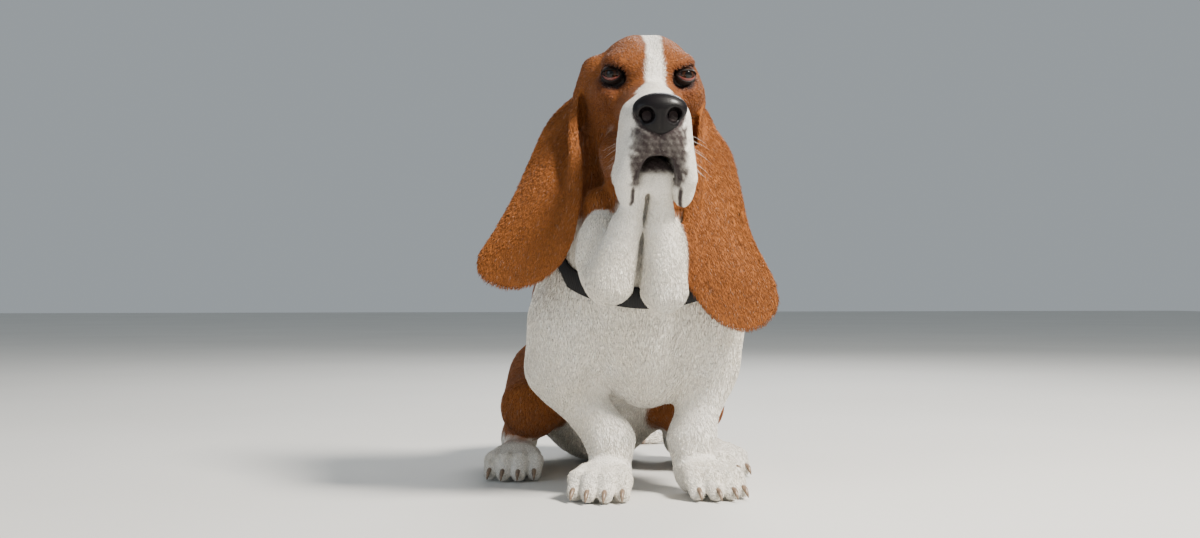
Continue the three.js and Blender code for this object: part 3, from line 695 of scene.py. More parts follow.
def markings(p, parts):
    """The coat's colour at points, from where they lie on the dog."""
    h = in_head(p)
    ripple = mottle(p, 45, 3) * 3 + mottle(p, 14, 4) * 1.5
    body = np.minimum(parts["trunk"], parts["side_fold"])
    on_head = smooth_step(6, -4, parts["head"] - body)
    on_head = np.maximum(on_head, smooth_step(3, 0, parts["jaw"]))
    ear = smooth_step(3, -1, parts["ear"] - 0.8)
    saddle = saddle_share(p, ripple)
    share = rust_on_body(p, parts, saddle, ripple) * (1 - on_head)
    share += (1 - white_on_head(h, parts, ripple)) * on_head
    share = np.maximum(share, ear)[:, None]

    tone = mottle(p, 120, 5) * 0.5 + mottle(p, 30, 6) * 0.25
    rust = np.tile(RUST, (len(p), 1))
    rust = paint_over(rust, DARK_RUST, np.clip(0.22 + 0.25 * tone, 0, 1))
    darker = (0.3 * on_head + saddle * (1 - on_head) * (0.35 + 0.3 * tone)) * (1 - ear)
    rust = paint_over(rust, DARK_RUST, np.clip(darker, 0, 1))
    pale = np.tile(WHITE, (len(p), 1))
    pale = paint_over(pale, CREAM, np.clip(0.15 + 0.4 * tone, 0, 1))
    colour = pale * (1 - share) + rust * share

    # dark rims round the eyes: darker rust, partly the dog's own hair and partly painted shade in
    # the eye sockets, and dark skin at the lids
    eye = np.linalg.norm(mirrored(h) - (EYE_SPACING / 2, -4, EYE_RISE - 3), axis=1)
    colour = paint_over(colour, DARK_RUST, 0.8 * on_head * smooth_step(29, 18, eye))
    colour = paint_over(colour, LIP, 0.9 * smooth_step(18.5, 14.5, eye))
    # dark skin where the lips and the nose are bare, with painted shade at the top of the chin
    # under the upper lips
    lip = lip_and_shade_share(h, parts)
    speckle = np.clip(0.85 + 0.25 * mottle(p, 6, 12), 0, 1)
    colour = paint_over(colour, GREY_LIP, speckle * smooth_step(0.0, 0.5, lip))
    bare = np.clip(0.6 + 0.4 * speckle, 0, 1) * smooth_step(0.35, 1.0, lip)
    return np.clip(paint_over(colour, LIP, bare), 0, 1)


def lip_and_shade_share(h, parts):
    """How bare and dark the lips are: 1 along the mouth's edge and under the nose, 0 on the fur;
    the jaw's top is partly bare skin, partly painted shade under the upper lips.
    """
    x, y, z = h.T
    side = mirrored(h)
    lips = np.minimum.reduce([limb(side, a, b, 0, 0) for a, b in zip(LIP_EDGE, LIP_EDGE[1:])])
    on_jaw = smooth_step(0, -1, parts["jaw"])
    edge = smooth_step(7, 4, lips + 3.2 * smooth_step(-104, -118, z)) * (1 - on_jaw)
    # the top of the lower jaw: partly its own dark skin, partly painted shade under the upper lips
    jaw_top_skin_and_shade = on_jaw * smooth_step(-109, -96, z)
    ragged = np.abs(x) + 4 * mottle(h, 15, 14)
    front = smooth_step(-106, -132, y) * smooth_step(35, 23, ragged) * smooth_step(-48, -58, z)
    front *= smooth_step(-126, -112, z) * (1 - on_jaw)
    philtrum = front * smooth_step(3.5, 1, np.abs(x))
    pad = smooth_step(5, 1, blended(h, NOSE_PAD))
    return np.clip(np.maximum.reduce([edge, jaw_top_skin_and_shade, 0.76 * front, philtrum, pad]), 0, 1)


# The way the coat lies


def tail_way(p):
    """Along the tail, from the nearest of its limbs."""
    best = np.full(len(p), 1e9)
    way = np.zeros((len(p), 3))
    for a, b in zip(TAIL, TAIL[1:]):
        d = limb(p, a[:3], b[:3], a[3], b[3])
        along = np.array(b[:3], dtype=float) - a[:3]
        way[d < best] = unit(along)
        best = np.minimum(best, d)
    return way


def coat_way(p, parts):
    """The way the hair lies at points, and the name of the part that each is on."""

    def rows(*way):
        return np.column_stack(np.broadcast_arrays(*way, p[:, 0])[:3])

    names = list(parts)
    nearest = np.argmin(np.column_stack([parts[n] for n in names]), axis=1)
    x, y, z = in_head(p).T
    wide = 0.25 * np.sign(x) * smooth_step(20, -60, y)
    drop = smooth_step(0, 60, np.abs(x)) * 0.9 + smooth_step(10, -60, z) * 0.4
    head = rows(wide, 1.0, 0.25 - drop) @ HEAD_ROWS[:3, :3].T
    x, y, z = p.T
    back = smooth_step(-20, 140, y)
    down = rows(0.0, 0.12, -1.0)
    toes = rows(0.25 * np.sign(x), -1.0, -0.35)
    ways = {
        "head": head, "jaw": head, "trunk": rows(0.0, back, -1.05 + 0.55 * back),
        "shoulder": down, "foreleg": down, "side_fold": down, "dewlap": down,
        "forepaw": toes, "hind_paw": toes, "thigh": rows(0.1 * np.sign(x), 0.25, -0.9),
        "ear": rows(np.where(x < 0, -0.35, 0.2), -0.12, -1.0), "tail": tail_way(p),
    }
    way = np.zeros_like(p)
    for i, name in enumerate(names):
        way[nearest == i] = ways[name][nearest == i]
    return unit_rows(way), np.array(names)[nearest]


def spread(mesh, values, rounds):
    """Each vertex's value averaged with its neighbours', again and again."""
    a, b = rows_of(mesh.edges, "vertices", 2, np.int32).T
    size = len(values)
    count = np.bincount(a, minlength=size) + np.bincount(b, minlength=size)
    for _ in range(rounds):
        columns = []
        for column in values.T:
            total = np.bincount(a, column[b], size) + np.bincount(b, column[a], size)
            columns.append(total / np.maximum(count, 1))
        values = 0.5 * values + 0.5 * np.column_stack(columns)
    return values


# One skin over the whole dog

FLESH_NODES = (
    "head", "lower_jaw", "ear_right", "ear_left", "neck", "dewlap", "torso",
    "foreleg_right", "forepaw_right", "foreleg_left", "forepaw_left",
    "hind_leg_right", "hind_paw_right", "hind_leg_left", "hind_paw_left", "tail",
)
FACE_MIDDLE = (0, -40, -50)
FACE_REACH = 135
SKIN_PAINTED_SHADE = 0.82  # painted shade: the skin at this share of the coat's own tone, as in the shade between hairs


def build_skin():
    """The whole skin in one piece, its mesh thinned more on the body than on the face."""
    points, quads = skin_net(SKIN_CELL, -COAT_DEPTH)
    skin = make_piece("skin", points, quads, SKIN_FUR)
    h = in_head(points)
    off_face = np.linalg.norm(h - FACE_MIDDLE, axis=1) > FACE_REACH
    body = np.flatnonzero(off_face & (h[:, 2] < 40))
    skin.vertex_groups.new(name="body").add(body.tolist(), 1.0, "REPLACE")
    thin = skin.modifiers.new("thin", "DECIMATE")
    thin.ratio = min(1, SKIN_FACES / (2 * len(quads)))
    thin.vertex_group = "body"
    thin.vertex_group_factor = 0.6
    ready = skin.evaluated_get(bpy.context.evaluated_depsgraph_get())
    mesh = bpy.data.meshes.new_from_object(ready)
    skin.modifiers.clear()
    skin.vertex_groups.clear()
    skin.data = mesh
    mesh.name = "skin"
    unwrap(skin)
    return skin


def unwrap(piece):
    """The unwrap of the skin's own shape, which the tufts' patches are placed by."""
    bpy.ops.object.select_all(action="DESELECT")
    bpy.context.view_layer.objects.active = piece
    piece.select_set(True)
    bpy.ops.object.mode_set(mode="EDIT")
    bpy.ops.mesh.select_all(action="SELECT")
    bpy.ops.uv.smart_project(angle_limit=math.radians(72), island_margin=0.0008)
    bpy.ops.object.mode_set(mode="OBJECT")
    piece.data.uv_layers[0].name = "OFBake"


skin = build_skin()
skin_points = rows_of(skin.data.vertices, "co", 3) / MM - SHIFT
skin_parts = flesh_parts(skin_points)
skin_ways, skin_regions = coat_way(skin_points, skin_parts)
skin_ways = spread(skin.data, skin_ways, 30)
# dark bare lips, with painted shade at the top of the chin
skin_lips_and_shade = lip_and_shade_share(in_head(skin_points), skin_parts)
# the skin's markings darkened by the painted shade between hairs
paint(skin.data, "coat", markings(skin_points, skin_parts) * SKIN_PAINTED_SHADE)
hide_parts(*FLESH_NODES)
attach(skin, "root")

# The coat: thin closed tufts, each rooted in the skin and laid along it

# each part's share of the tufts for its area, their length and width in mm, and lift in degrees
COAT_KINDS = {
    "head": (2.1, 5.6, 0.75, 8),
    "jaw": (2.0, 4.5, 0.7, 9),
    "ear": (1.6, 7.5, 0.8, 7),
    "side_fold": (1.2, 9, 1.0, 9),
    "dewlap": (1.6, 8.5, 0.9, 9),
    "trunk": (0.85, 12, 1.2, 9),
    "shoulder": (0.95, 10, 1.1, 9),
    "thigh": (0.9, 10, 1.1, 9),
    "foreleg": (1.2, 7, 0.9, 9),
    "forepaw": (1.5, 5, 0.8, 10),
    "hind_paw": (1.5, 5, 0.8, 10),
    "tail": (1.3, 11, 1.1, 12),
}
TUFT_BEND = 0.42  # the share of a tuft's length at which it lies down
TUFT_SINK = 0.5  # how deep the root is in the skin, in mm
TUFT_THICKNESS = 0.3  # as a share of the width
FLOOR_GAP = 0.4  # between the lowest tufts and the floor, in mm
WAYWARD = 0.13  # how far a tuft strays from the lie of the coat
PALE_HAIRS = 0.04  # the share of the tufts that are a little paler

COAT_SIZES = np.array(list(COAT_KINDS.values()))
skin_kinds = np.array([list(COAT_KINDS).index(name) for name in skin_regions])


def tuft_places(rng):
    """Random places on the skin, more where tufts are shorter, few on the bare lips, none under
    the feet: the vertices and the loops of the triangle that each is in, and its share of them."""
    mesh = skin.data
    mesh.calc_loop_triangles()
    corners = rows_of(mesh.loop_triangles, "vertices", 3, np.int32)
    loops = rows_of(mesh.loop_triangles, "loops", 3, np.int32)
    a, b, c = (skin_points[corners[:, i]] for i in range(3))
    area = np.linalg.norm(np.cross(b - a, c - a), axis=1) / 2
    dense = COAT_SIZES[skin_kinds[corners[:, 0]], 0]
    # few tufts on the bare lips and on the top of the chin, which is partly painted shade
    bare = skin_lips_and_shade[corners].mean(1)
    under_foot = a[:, 2] < 3.0
    weight = area * dense * (1 - 0.85 * smooth_step(0.35, 0.8, bare)) * ~under_foot
    pick = np.sort(rng.choice(len(corners), TUFTS, p=weight / weight.sum()))
    return corners[pick], loops[pick], rng.dirichlet((1, 1, 1), TUFTS)


def weighed(values, corners, shares):
    """The corners' values run together, each by its share."""
    return np.einsum("ij,ijk->ik", shares, values[corners])


def tuft_points(rng, root, out, way, sizes):
    """Each tuft's five points: it rises from its root, then lies down to its tip."""
    length, width, lift = sizes.T
    face = smooth_step(-40, -110, in_head(root)[:, 1]) * smooth_step(240, 330, root[:, 2])
    length *= (1 - 0.5 * face) * rng.uniform(0.75, 1.2, TUFTS)
    width *= (1 - 0.25 * face) * rng.uniform(0.8, 1.15, TUFTS)
    lift = np.radians(lift * rng.uniform(0.5, 1.35, TUFTS))
    way += rng.normal(scale=WAYWARD, size=way.shape)
    way = unit_rows(way - out * (way * out).sum(1)[:, None])
    rise = way * np.cos(lift)[:, None] + out * np.sin(lift)[:, None]
    flat = way * np.cos(lift * 0.2)[:, None] + out * np.sin(lift * 0.2)[:, None]
    middle = root + rise * (length * TUFT_BEND)[:, None]
    tips = middle + flat * (length * (1 - TUFT_BEND))[:, None]
    half = np.cross(out, way) * (width / 2)[:, None]
    thick = out * (width * TUFT_THICKNESS)[:, None]
    sunk = root - out * TUFT_SINK
    points = np.stack([sunk, middle - half, middle + half, middle + thick, tips], 1)
    points[:, :, 2] = np.maximum(points[:, :, 2], FLOOR_GAP)
    return points


def tuft_colours(rng, root):
    """The markings at each root, a little lighter or darker from tuft to tuft."""
    shade = rng.uniform(0.82, 1.16, TUFTS) * (1 + 0.06 * mottle(root, 9, 8))
    colours = np.clip(markings(root, flesh_parts(root)) * shade[:, None], 0, 1)
    pale = rng.random(TUFTS) < PALE_HAIRS
    colours[pale] = paint_over(colours[pale], WHITE, np.full(pale.sum(), 0.1))
    return colours


def grow_coat():
    """The whole coat, its tufts sorted by the part of the body and shared out evenly to pieces."""
    rng = np.random.default_rng(11)
    corners, loops, shares = tuft_places(rng)
    normals = rows_of(skin.data.vertex_normals, "vector", 3)
    uv = rows_of(skin.data.uv_layers["OFBake"].data, "uv", 2)
    root = weighed(skin_points, corners, shares)
    out = unit_rows(weighed(normals, corners, shares))
    way = weighed(skin_ways, corners, shares)
    sizes = weighed(COAT_SIZES[skin_kinds][:, 1:], corners, shares)
    points = tuft_points(rng, root, out, way, sizes)
    colours = tuft_colours(rng, root)
    patch = weighed(uv, loops, shares)
    order = np.argsort(skin_kinds[corners[:, 0]], kind="stable")
    for number, part in enumerate(np.array_split(order, math.ceil(TUFTS / TUFTS_A_PIECE))):
        coat_piece(f"coat_{number + 1}", points[part], colours[part], patch[part])


# a tuft's points: root, the two sides and the back of its bend, and tip
TUFT_FACES = np.array([(0, 1, 3), (0, 3, 2), (1, 4, 3), (3, 4, 2), (0, 2, 1), (1, 2, 4)])
TUFT_PATCH = np.array([(0, 0), (-0.4, 0.4), (0.4, 0.4), (0, 0.5), (0, 1)]) * 0.003
# painted shade: each tuft darker at its root, lighter up the back of its bend to the tip
TUFT_PAINTED_SHADE = np.array([0.85, 1.0, 1.0, 1.05, 1.1])


def coat_piece(name, points, colours, patch):
    """One piece of the coat, each tuft with a small patch of the unwrap at its root's place."""
    count = len(points)
    faces = (np.arange(count)[:, None, None] * 5 + TUFT_FACES).reshape(-1, 3)
    mesh = bpy.data.meshes.new(name)
    mesh.vertices.add(count * 5)
    places = (points.reshape(-1, 3) + SHIFT) * MM
    mesh.vertices.foreach_set("co", places.astype(np.float32).ravel())
    mesh.loops.add(faces.size)
    mesh.loops.foreach_set("vertex_index", faces.ravel().astype(np.int32))
    mesh.polygons.add(len(faces))
    mesh.polygons.foreach_set("loop_start", (np.arange(len(faces)) * 3).astype(np.int32))
    mesh.polygons.foreach_set("use_smooth", [True] * len(faces))
    uv = (patch[:, None] + TUFT_PATCH).reshape(-1, 2)[faces.ravel()]
    mesh.uv_layers.new(name="OFBake").data.foreach_set("uv", uv.astype(np.float32).ravel())
    mesh.update(calc_edges=True)
    mesh.validate()
    # painted shade on each tuft, darkest at the root
    shaded = colours[:, None] * TUFT_PAINTED_SHADE[:, None]
    paint(mesh, "coat", np.clip(shaded, 0, 1).reshape(-1, 3))
    mesh.materials.append(COAT_FUR)
    piece = in_scene(name, mesh)
    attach(piece, "root")


grow_coat()

# Nose


def nose_field(h):
    """The nose's pad with its nostrils, their side slits and the cleft below."""
    pad = blended(h, NOSE_PAD)
    holes = blended(mirrored(h), NOSTRILS)
    cleft = limb(h, (0, -169, -34), (0, -166, -66), 1.3, 1.8)
    return without(without(pad, holes, 3), cleft, 3)


def nose_leather(tree):
    """Moist bare skin: a pebbled grain about a millimetre across under a thin wet film."""
    place = add(tree, "ShaderNodeTexCoord").outputs["Object"]
    cells = add(tree, "ShaderNodeTexVoronoi", {"Vector": place, "Scale": 1000 / 1.3})
    cloud = add(tree, "ShaderNodeTexNoise", {"Vector": place, "Scale": 1000 / 14})
    tones = ((0.35, to_linear("#050304")), (0.75, to_linear("#0F0A0C")))
    ramp = add(tree, "ShaderNodeValToRGB", {"Fac": cloud}, tones)
    relief = {"Height": cells, "Strength": 0.5, "Distance": 0.35 * MM}
    bump = add(tree, "ShaderNodeBump", relief, invert=True)
    return add(tree, "ShaderNodeBsdfPrincipled", {
        "Base Color": ramp, "Normal": bump, "Roughness": 0.45, "IOR": 1.45,
        "Specular IOR Level": 0.18, "Coat Weight": 0.16, "Coat Roughness": 0.18,
    })


def build_nose():
    """The nose's leather, made in the head's own frame."""
    points, quads = small_net(nose_field, (-34, -172, -66), (34, -130, -12), 1.0)
    leather = make_material("moist_nose_leather", nose_leather)
    nose = make_piece("nose_leather", from_head(points), quads, leather)
    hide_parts("nose")
    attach(nose, "root")


build_nose()

# Eyes

IRIS = to_linear("#381C0B")
IRIS_EDGE = to_linear("#0E0705")
EYE_WHITE = to_linear("#4A3630")
PUPIL = [0.002, 0.002, 0.002]
EYE_RINGS = [  # where each ring's colour starts and is full, from the eye's axis
    (IRIS_EDGE, 9.4, 8.6),
    (IRIS, 8.2, 6.6),
    (PUPIL, 5.2, 4.4),
]
CORNEA_RISE = 1.3
LID_HALF_WIDTH = 11.2
LID_TOP = 4.6
LID_BOTTOM = 7.6
LID_COLUMNS, LID_ROWS = 64, 12
HAW_STEPS = 24


def eye_place(side):
    """From the eye's own frame, its axis along -Y, to the dog's."""
    turn = Euler(
        (math.radians(HEAD_NOD), 0, math.radians(HEAD_TURN + side * EYE_SPLAY)), "ZXY"
    ).to_matrix()
    centre = from_head((side * EYE_SPACING / 2, 0, EYE_RISE))
    return lambda points: np.asarray(points) @ np.array(turn).T + centre


def round_grid(rows, columns, shape):
    """Points and faces of a closed form turned round -Y: shape(row share) gives reach and depth."""
    points = [(0, shape(0)[1], 0)]
    for i in range(1, rows):
        reach, depth = shape(i / rows)
        for j in range(columns):
            turn = 2 * math.pi * j / columns
            points.append((reach * math.cos(turn), depth, reach * math.sin(turn)))
    points.append((0, shape(1)[1], 0))
    faces = [(0, 1 + (j + 1) % columns, 1 + j) for j in range(columns)]
    faces += ring_faces(rows - 1, columns, 1)
    last = len(points) - 1
    a = last - columns
    faces += [(last, a + j, a + (j + 1) % columns) for j in range(columns)]
    return points, faces


def eyeball_shape(t):
    """The ball's half outline, a little flat behind the lids, with the cornea's rise in front."""
    angle = math.pi * t
    cornea = CORNEA_RISE * max(0, math.cos(min(angle * 2.6, math.pi / 2)))
    return EYE_RADIUS * math.sin(angle), -(EYE_RADIUS - 0.9) * math.cos(angle) - cornea


def wet_eye(tree):
    """A wet eye: a brown iris round a black pupil, the white browned, under clear tears."""
    place = add(tree, "ShaderNodeTexCoord").outputs["Object"]
    rings = add(tree, "ShaderNodeAttribute", attribute_name="coat")
    streak = add(tree, "ShaderNodeTexNoise", {"Vector": place, "Scale": 1000 / 1.2})
    tone = add(tree, "ShaderNodeMapRange", {"Value": streak, "To Min": 0.7, "To Max": 1.3})
    mixed = add(tree, "ShaderNodeVectorMath", {0: rings, "Scale": tone}, operation="SCALE")
    return add(tree, "ShaderNodeBsdfPrincipled", {
        "Base Color": mixed, "Roughness": 0.2, "IOR": 1.38, "Specular IOR Level": 0.1,
        "Coat Weight": 0.5, "Coat Roughness": 0.02,
    })


def bare_skin(tree, colour, roughness, gloss):
    """Bare wet membrane or dark lid skin, with fine creases."""
    place = add(tree, "ShaderNodeTexCoord").outputs["Object"]
    crease = add(tree, "ShaderNodeTexNoise", {"Vector": place, "Scale": 1000 / 1.5})
    tones = ((0.3, [0.6 * c for c in to_linear(colour)]), (0.7, to_linear(colour)))
    ramp = add(tree, "ShaderNodeValToRGB", {"Fac": crease}, tones)
    relief = {"Height": crease, "Strength": 0.3, "Distance": 0.2 * MM}
    bump = add(tree, "ShaderNodeBump", relief)
    return add(tree, "ShaderNodeBsdfPrincipled", {
        "Base Color": ramp, "Normal": bump, "Roughness": roughness, "IOR": 1.4,
        "Coat Weight": gloss, "Coat Roughness": 0.2,
    })


LID_SKIN = make_material("dark_lid_skin", bare_skin, "#1E1512", 0.7, 0.05)
HAW_SKIN = make_material("pink_haw", bare_skin, "#7A3E37", 0.35, 0.3)


def opening(turn):
    """The lids' edge round the eye, as a place on the ball across and up."""
    up = math.sin(turn)
    reach = LID_TOP * up if up > 0 else LID_BOTTOM * up * (0.55 + 0.45 * abs(up))
    return LID_HALF_WIDTH * math.cos(turn), reach


def on_ball(across, up, radius):
    """The front point of a ball at a place across and up."""
    depth = math.sqrt(max(0.0, radius * radius - across * across - up * up))
    return (across, -depth, up)


def lid_shell():
    """The lids: a shell over the ball from the opening's edge out under the brow and cheek."""
    points = []
    for t in np.arange(LID_ROWS + 1) / LID_ROWS:
        for turn in 2 * math.pi * np.arange(LID_COLUMNS) / LID_COLUMNS:
            x, z = opening(turn)
            if t == 0:
                points.append(on_ball(x, z, EYE_RADIUS - 0.4))
                continue
            grow = 1 + 0.75 * t
            radius = EYE_RADIUS + 1.0 + 0.7 * math.sin(math.pi * min(1, t * 2.2)) - 1.2 * t
            points.append(on_ball(min(14, abs(x * grow)) * np.sign(x), z * grow - 1.5 * t, radius))
    return points, ring_faces(LID_ROWS + 1, LID_COLUMNS)


def haw_strip():
    """The red haw: a strip along the lower lid, raised in the middle of its width."""
    points = []
    for i in range(HAW_STEPS + 1):
        x, z = opening(math.radians(195 + 150 * i / HAW_STEPS))
        swell = math.sin(math.pi * i / HAW_STEPS)
        for share, rise in ((1.08, 0.25), (0.9, 0.9), (0.62, 0.25)):
            lift = share if share > 1 else 1 - (1 - share) * swell
            points.append(on_ball(x * lift, z * lift, EYE_RADIUS + rise))
    faces = []
    for a in range(0, 3 * HAW_STEPS, 3):
        faces += [(a + k, a + k + 1, a + k + 4, a + k + 3) for k in (0, 1)]
    return points, faces


def build_eye(name, side):
    place = eye_place(side)
    points, faces = round_grid(40, 48, eyeball_shape)
    wet = make_material("wet_brown_eye", wet_eye)
    eye = make_piece(f"eyeball_{name}", place(points), faces, wet)
    across, depth, up = np.array(points).T
    reach = np.hypot(across, up)
    front = depth < 0
    colours = np.tile(EYE_WHITE, (len(points), 1))
    for ring, starts, full in EYE_RINGS:
        colours = paint_over(colours, ring, smooth_step(starts, full, reach) * front)
    paint(eye.data, "coat", colours)
    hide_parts(f"eye_{name}")
    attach(eye, "root")
    for part, shell, material in (("lids", lid_shell, LID_SKIN), ("haw", haw_strip, HAW_SKIN)):
        points, faces = shell()
        piece = make_piece(f"{part}_{name}", place(points), faces, material)
        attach(piece, "root")


build_eye("right", -1)
build_eye("left", 1)

# Claws

CLAW_LINE = ((2, 5), (7, 4.5), (11.5, 2), (15, -3), (17, -6.5))  # ahead of the toe and over its tip
CLAW_RADII = (3.4, 3.2, 2.7, 1.7, 0.5)


def claw_horn(tree):
    """Dog's claw horn: pale brown at the quick, smooth, with fine growth lines."""
    place = add(tree, "ShaderNodeTexCoord").outputs["Object"]
    lines = add(tree, "ShaderNodeTexNoise", {"Vector": place, "Scale": 1000 / 3})
    tones = ((0, to_linear("#3A2C24")), (1, to_linear("#A08870")))
    ramp = add(tree, "ShaderNodeValToRGB", {"Fac": lines}, tones)
    finish = {"Base Color": ramp, "Roughness": 0.35, "IOR": 1.54}
    return add(tree, "ShaderNodeBsdfPrincipled", finish)


def tube(path, radii, sides):
    """A closed tube along points, with its own radius at each."""
    path = np.array(path, dtype=float)
    points = []
    for i, (centre, radius) in enumerate(zip(path, radii)):
        along = unit(path[min(i + 1, len(path) - 1)] - path[max(i - 1, 0)])
        across = unit(np.cross(along, (0.3, 0.1, 1.0)))
        up = np.cross(across, along)
        for j in range(sides):
            turn = 2 * math.pi * j / sides
            points.append(centre + radius * (math.cos(turn) * across + math.sin(turn) * up))
    faces = ring_faces(len(path), sides)
    faces.append(tuple(range(sides))[::-1])
    faces.append(tuple((len(path) - 1) * sides + j for j in range(sides)))
    return points, faces


def joined(name, forms, material):
    """One piece of several closed forms."""
    points, faces = [], []
    for some_points, some_faces in forms:
        start = len(points)
        points += list(some_points)
        faces += [tuple(v + start for v in face) for face in some_faces]
    piece = make_piece(name, points, faces, material)
    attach(piece, "root")


def build_claws():
    forms = []
    for place in FORELEGS + HIND_PAWS:
        for i in range(4):
            _, knuckle, tip = (np.array(point, dtype=float) for point in toe_line(place, i))
            ahead = unit((tip - knuckle) * (1, 1, 0))
            path = [tip + ahead * s + np.array((0, 0, z)) for s, z in CLAW_LINE]
            forms.append(tube(path, CLAW_RADII, 10))
    joined("claws", forms, make_material("claw_horn", claw_horn))


build_claws()

# Whiskers

WHISKER_RADIUS = 0.19


def whisker_hair(tree):
    """Stiff pale hair, smooth, in bands of slightly different white."""
    place = add(tree, "ShaderNodeTexCoord").outputs["Object"]
    bands = add(tree, "ShaderNodeTexNoise", {"Vector": place, "Scale": 1000 / 8})
    tones = ((0, to_linear("#CFC5B8")), (1, to_linear("#FFFFFF")))
    ramp = add(tree, "ShaderNodeValToRGB", {"Fac": bands}, tones)
    return add(tree, "ShaderNodeBsdfPrincipled", {"Base Color": ramp, "Roughness": 0.4})


def build_whiskers():
    """Three rows of four on each side, in the head's frame, drooping to thin tips."""
    rng = np.random.default_rng(21)
    along = np.linspace(0, 1, 7)
    forms = []
    for side in (-1, 1):
        for row in range(3):
            for column in range(4):
                y = -138 + 12 * column + rng.normal(0, 2)
                z = -64 - 13 * row + rng.normal(0, 2)
                root = np.array((side * (20 + 4.5 * column + 2.5 * row), y, z))
                way = (side * (0.9 + 0.1 * row), -0.15 + 0.25 * column, -0.25 - 0.12 * row)
                way = unit(way) + rng.normal(0, 0.08, 3)
                reach = rng.uniform(18, 38)
                sag = np.array((0, 0, -0.22 * reach))
                path = [from_head(root + way * reach * t + sag * t * t) for t in along]
                forms.append(tube(path, WHISKER_RADIUS * (1 - 0.85 * along), 4))
    joined("whiskers", forms, make_material("whisker_hair", whisker_hair))


build_whiskers()

# Collar

RIB_MM = 1.6
COLLAR_STEPS = 220
HALF_BAND = COLLAR_WIDTH / 2
COLLAR_SECTION = [  # across the band and out from the neck, with soft edges
    (-HALF_BAND, 0.4), (-HALF_BAND, 2.2), (-HALF_BAND + 1.2, 3.6), (0, 3.9),
    (HALF_BAND - 1.2, 3.6), (HALF_BAND, 2.2), (HALF_BAND, 0.4), (0, 0.2),
]


def nylon_webbing(tree):
    """Woven nylon webbing: ribs about 1.6 mm apart across the band, matt black."""
    where = add(tree, "ShaderNodeUVMap", uv_map="webbing")
    weave = {"Vector": where, "Scale": 1000 / RIB_MM / 6.283, "Distortion": 0.4}
    ribs = add(tree, "ShaderNodeTexWave", weave, bands_direction="X").outputs["Fac"]
    threads = add(tree, "ShaderNodeTexNoise", {"Vector": where, "Scale": 1000 / 0.9})
    both = add(tree, "ShaderNodeMath", {0: ribs, 1: threads}, operation="ADD")
    tones = ((0, to_linear("#060607")), (1, to_linear("#161618")))
    ramp = add(tree, "ShaderNodeValToRGB", {"Fac": both}, tones)
    relief = {"Height": both, "Strength": 0.7, "Distance": 0.4 * MM}
    bump = add(tree, "ShaderNodeBump", relief)
    return add(tree, "ShaderNodeBsdfPrincipled", {
        "Base Color": ramp, "Normal": bump, "Roughness": 0.7, "Specular IOR Level": 0.3,
    })


def neck_reach(centre, way):
    """How far the neck's surface lies from the collar's middle, along a way."""
    low, high = np.full(len(way), 20.0), np.full(len(way), 190.0)
    for _ in range(22):
        middle = (low + high) / 2
        points = centre + way * middle[:, None]
        parts = body_parts(points)
        neck = blend(parts["trunk"], parts["head"], 24)
        outside = blend(neck, blended(points, SIDE_FOLDS), 16) > 0
        high = np.where(outside, middle, high)
        low = np.where(outside, low, middle)
    return high


def build_collar():
    """The band's section carried round the neck in the collar's plane, fitted to the skin."""
    normal = collar_normal()
    back = np.cross(normal, (1.0, 0, 0))
    turns = np.linspace(0, 2 * math.pi, COLLAR_STEPS, endpoint=False)
    way = np.cos(turns)[:, None] * (1.0, 0, 0) + np.sin(turns)[:, None] * back
    rows = []
    for up, out in COLLAR_SECTION:
        centre = COLLAR_FRONT + back * COLLAR_TO_MIDDLE + normal * up
        reach = neck_reach(centre, way)
        looped = np.concatenate([reach[-4:], reach, reach[:4]])
        reach = np.convolve(looped, np.ones(9) / 9, "valid")
        rows.append(centre + way * (reach + out)[:, None])
    points = np.stack(rows, 1).reshape(-1, 3)
    round_once = np.vstack([rows[3], rows[3][:1]])
    steps = np.linalg.norm(np.diff(round_once, axis=0), axis=1)
    length = np.concatenate([[0], np.cumsum(steps)]) * MM
    wide = len(COLLAR_SECTION)
    faces, uvs = [], []
    for i in range(COLLAR_STEPS):
        n = (i + 1) % COLLAR_STEPS
        for j in range(wide):
            k = (j + 1) % wide
            faces.append((i * wide + j, n * wide + j, n * wide + k, i * wide + k))
            a, b = COLLAR_SECTION[j][0] * MM, COLLAR_SECTION[k][0] * MM
            uvs += [(length[i], a), (length[i + 1], a), (length[i + 1], b), (length[i], b)]
    webbing = make_material("black_nylon_webbing", nylon_webbing)
    collar = make_piece("collar_webbing", points, faces, webbing)
    layer = collar.data.uv_layers.new(name="webbing")
    layer.data.foreach_set("uv", np.array(uvs, dtype=np.float32).ravel())
    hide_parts("collar")
    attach(collar, "root")


build_collar()

# Studio: a pale floor, a pale sky dome, soft lights and the photograph's own viewpoint


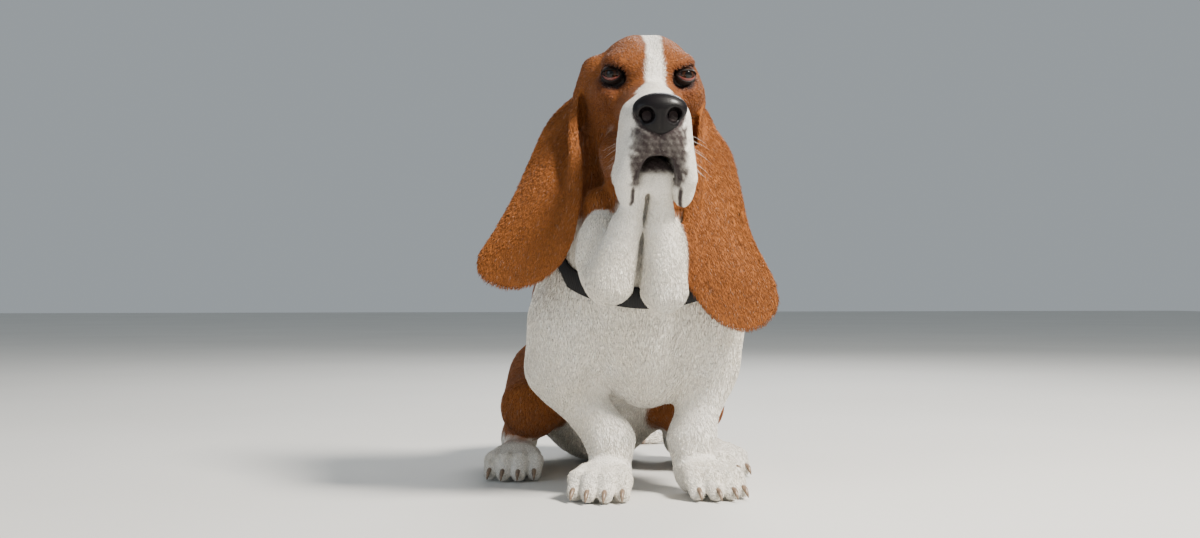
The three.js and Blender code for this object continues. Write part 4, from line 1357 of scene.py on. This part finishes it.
def pale_screed(tree):
    """Painted pale screed, matt, with a faint cloudiness."""
    place = add(tree, "ShaderNodeTexCoord").outputs["Object"]
    cloud = add(tree, "ShaderNodeTexNoise", {"Vector": place, "Scale": 1.4})
    tones = ((0, to_linear("#C9C8C4")), (1, to_linear("#D6D5D1")))
    ramp = add(tree, "ShaderNodeValToRGB", {"Fac": cloud}, tones)
    return add(tree, "ShaderNodeBsdfPrincipled", {"Base Color": ramp, "Roughness": 0.9})


def build_floor():
    mesh = bpy.data.meshes.new("floor")
    mesh.from_pydata([(-9, -9, 0), (9, -9, 0), (9, 14, 0), (-9, 14, 0)], [], [(0, 1, 2, 3)])
    mesh.materials.append(make_material("pale_floor", pale_screed))
    in_scene("floor", mesh)


def area_light(name, place, aim, size, power, colour):
    """A round soft light that looks at a place, in metres and watts."""
    data = bpy.data.lights.new(name, "AREA")
    data.shape = "DISK"
    data.size = size
    data.energy = power
    data.color = to_linear(colour)
    light = in_scene(name, data)
    light.location = place
    light.rotation_euler = (Vector(aim) - Vector(place)).to_track_quat("-Z", "Y").to_euler()


def build_studio():
    build_floor()
    world = bpy.data.worlds.new("studio")
    world.use_nodes = True
    sky = world.node_tree.nodes["Background"]
    sky.inputs["Color"].default_value = (*to_linear("#D3DCE2"), 1)
    sky.inputs["Strength"].default_value = 0.52
    bpy.context.scene.world = world
    area_light("key", (1.5, -1.7, 2.4), (0, -0.1, 0.3), 0.8, 285, "#FFF8EE")
    area_light("fill", (-2.4, -1.6, 1.0), (0, -0.1, 0.3), 1.8, 16, "#E6F0FF")
    area_light("rim", (0.9, 2.2, 2.2), (0, 0, 0.3), 1.2, 60, "#FFFFFF")


def build_camera():
    data = bpy.data.cameras.new("viewpoint")
    data.lens = 42
    data.sensor_width = 36
    camera = in_scene("viewpoint", data)
    camera.location = (np.array(CAMERA_PLACE) + SHIFT) * MM
    turn, pitch = math.radians(CAMERA_TURN), math.radians(CAMERA_PITCH)
    level = math.cos(pitch)
    aim = Vector((math.sin(turn) * level, math.cos(turn) * level, math.sin(pitch)))
    camera.rotation_euler = aim.to_track_quat("-Z", "Y").to_euler()
    bpy.context.scene.camera = camera


build_studio()
build_camera()
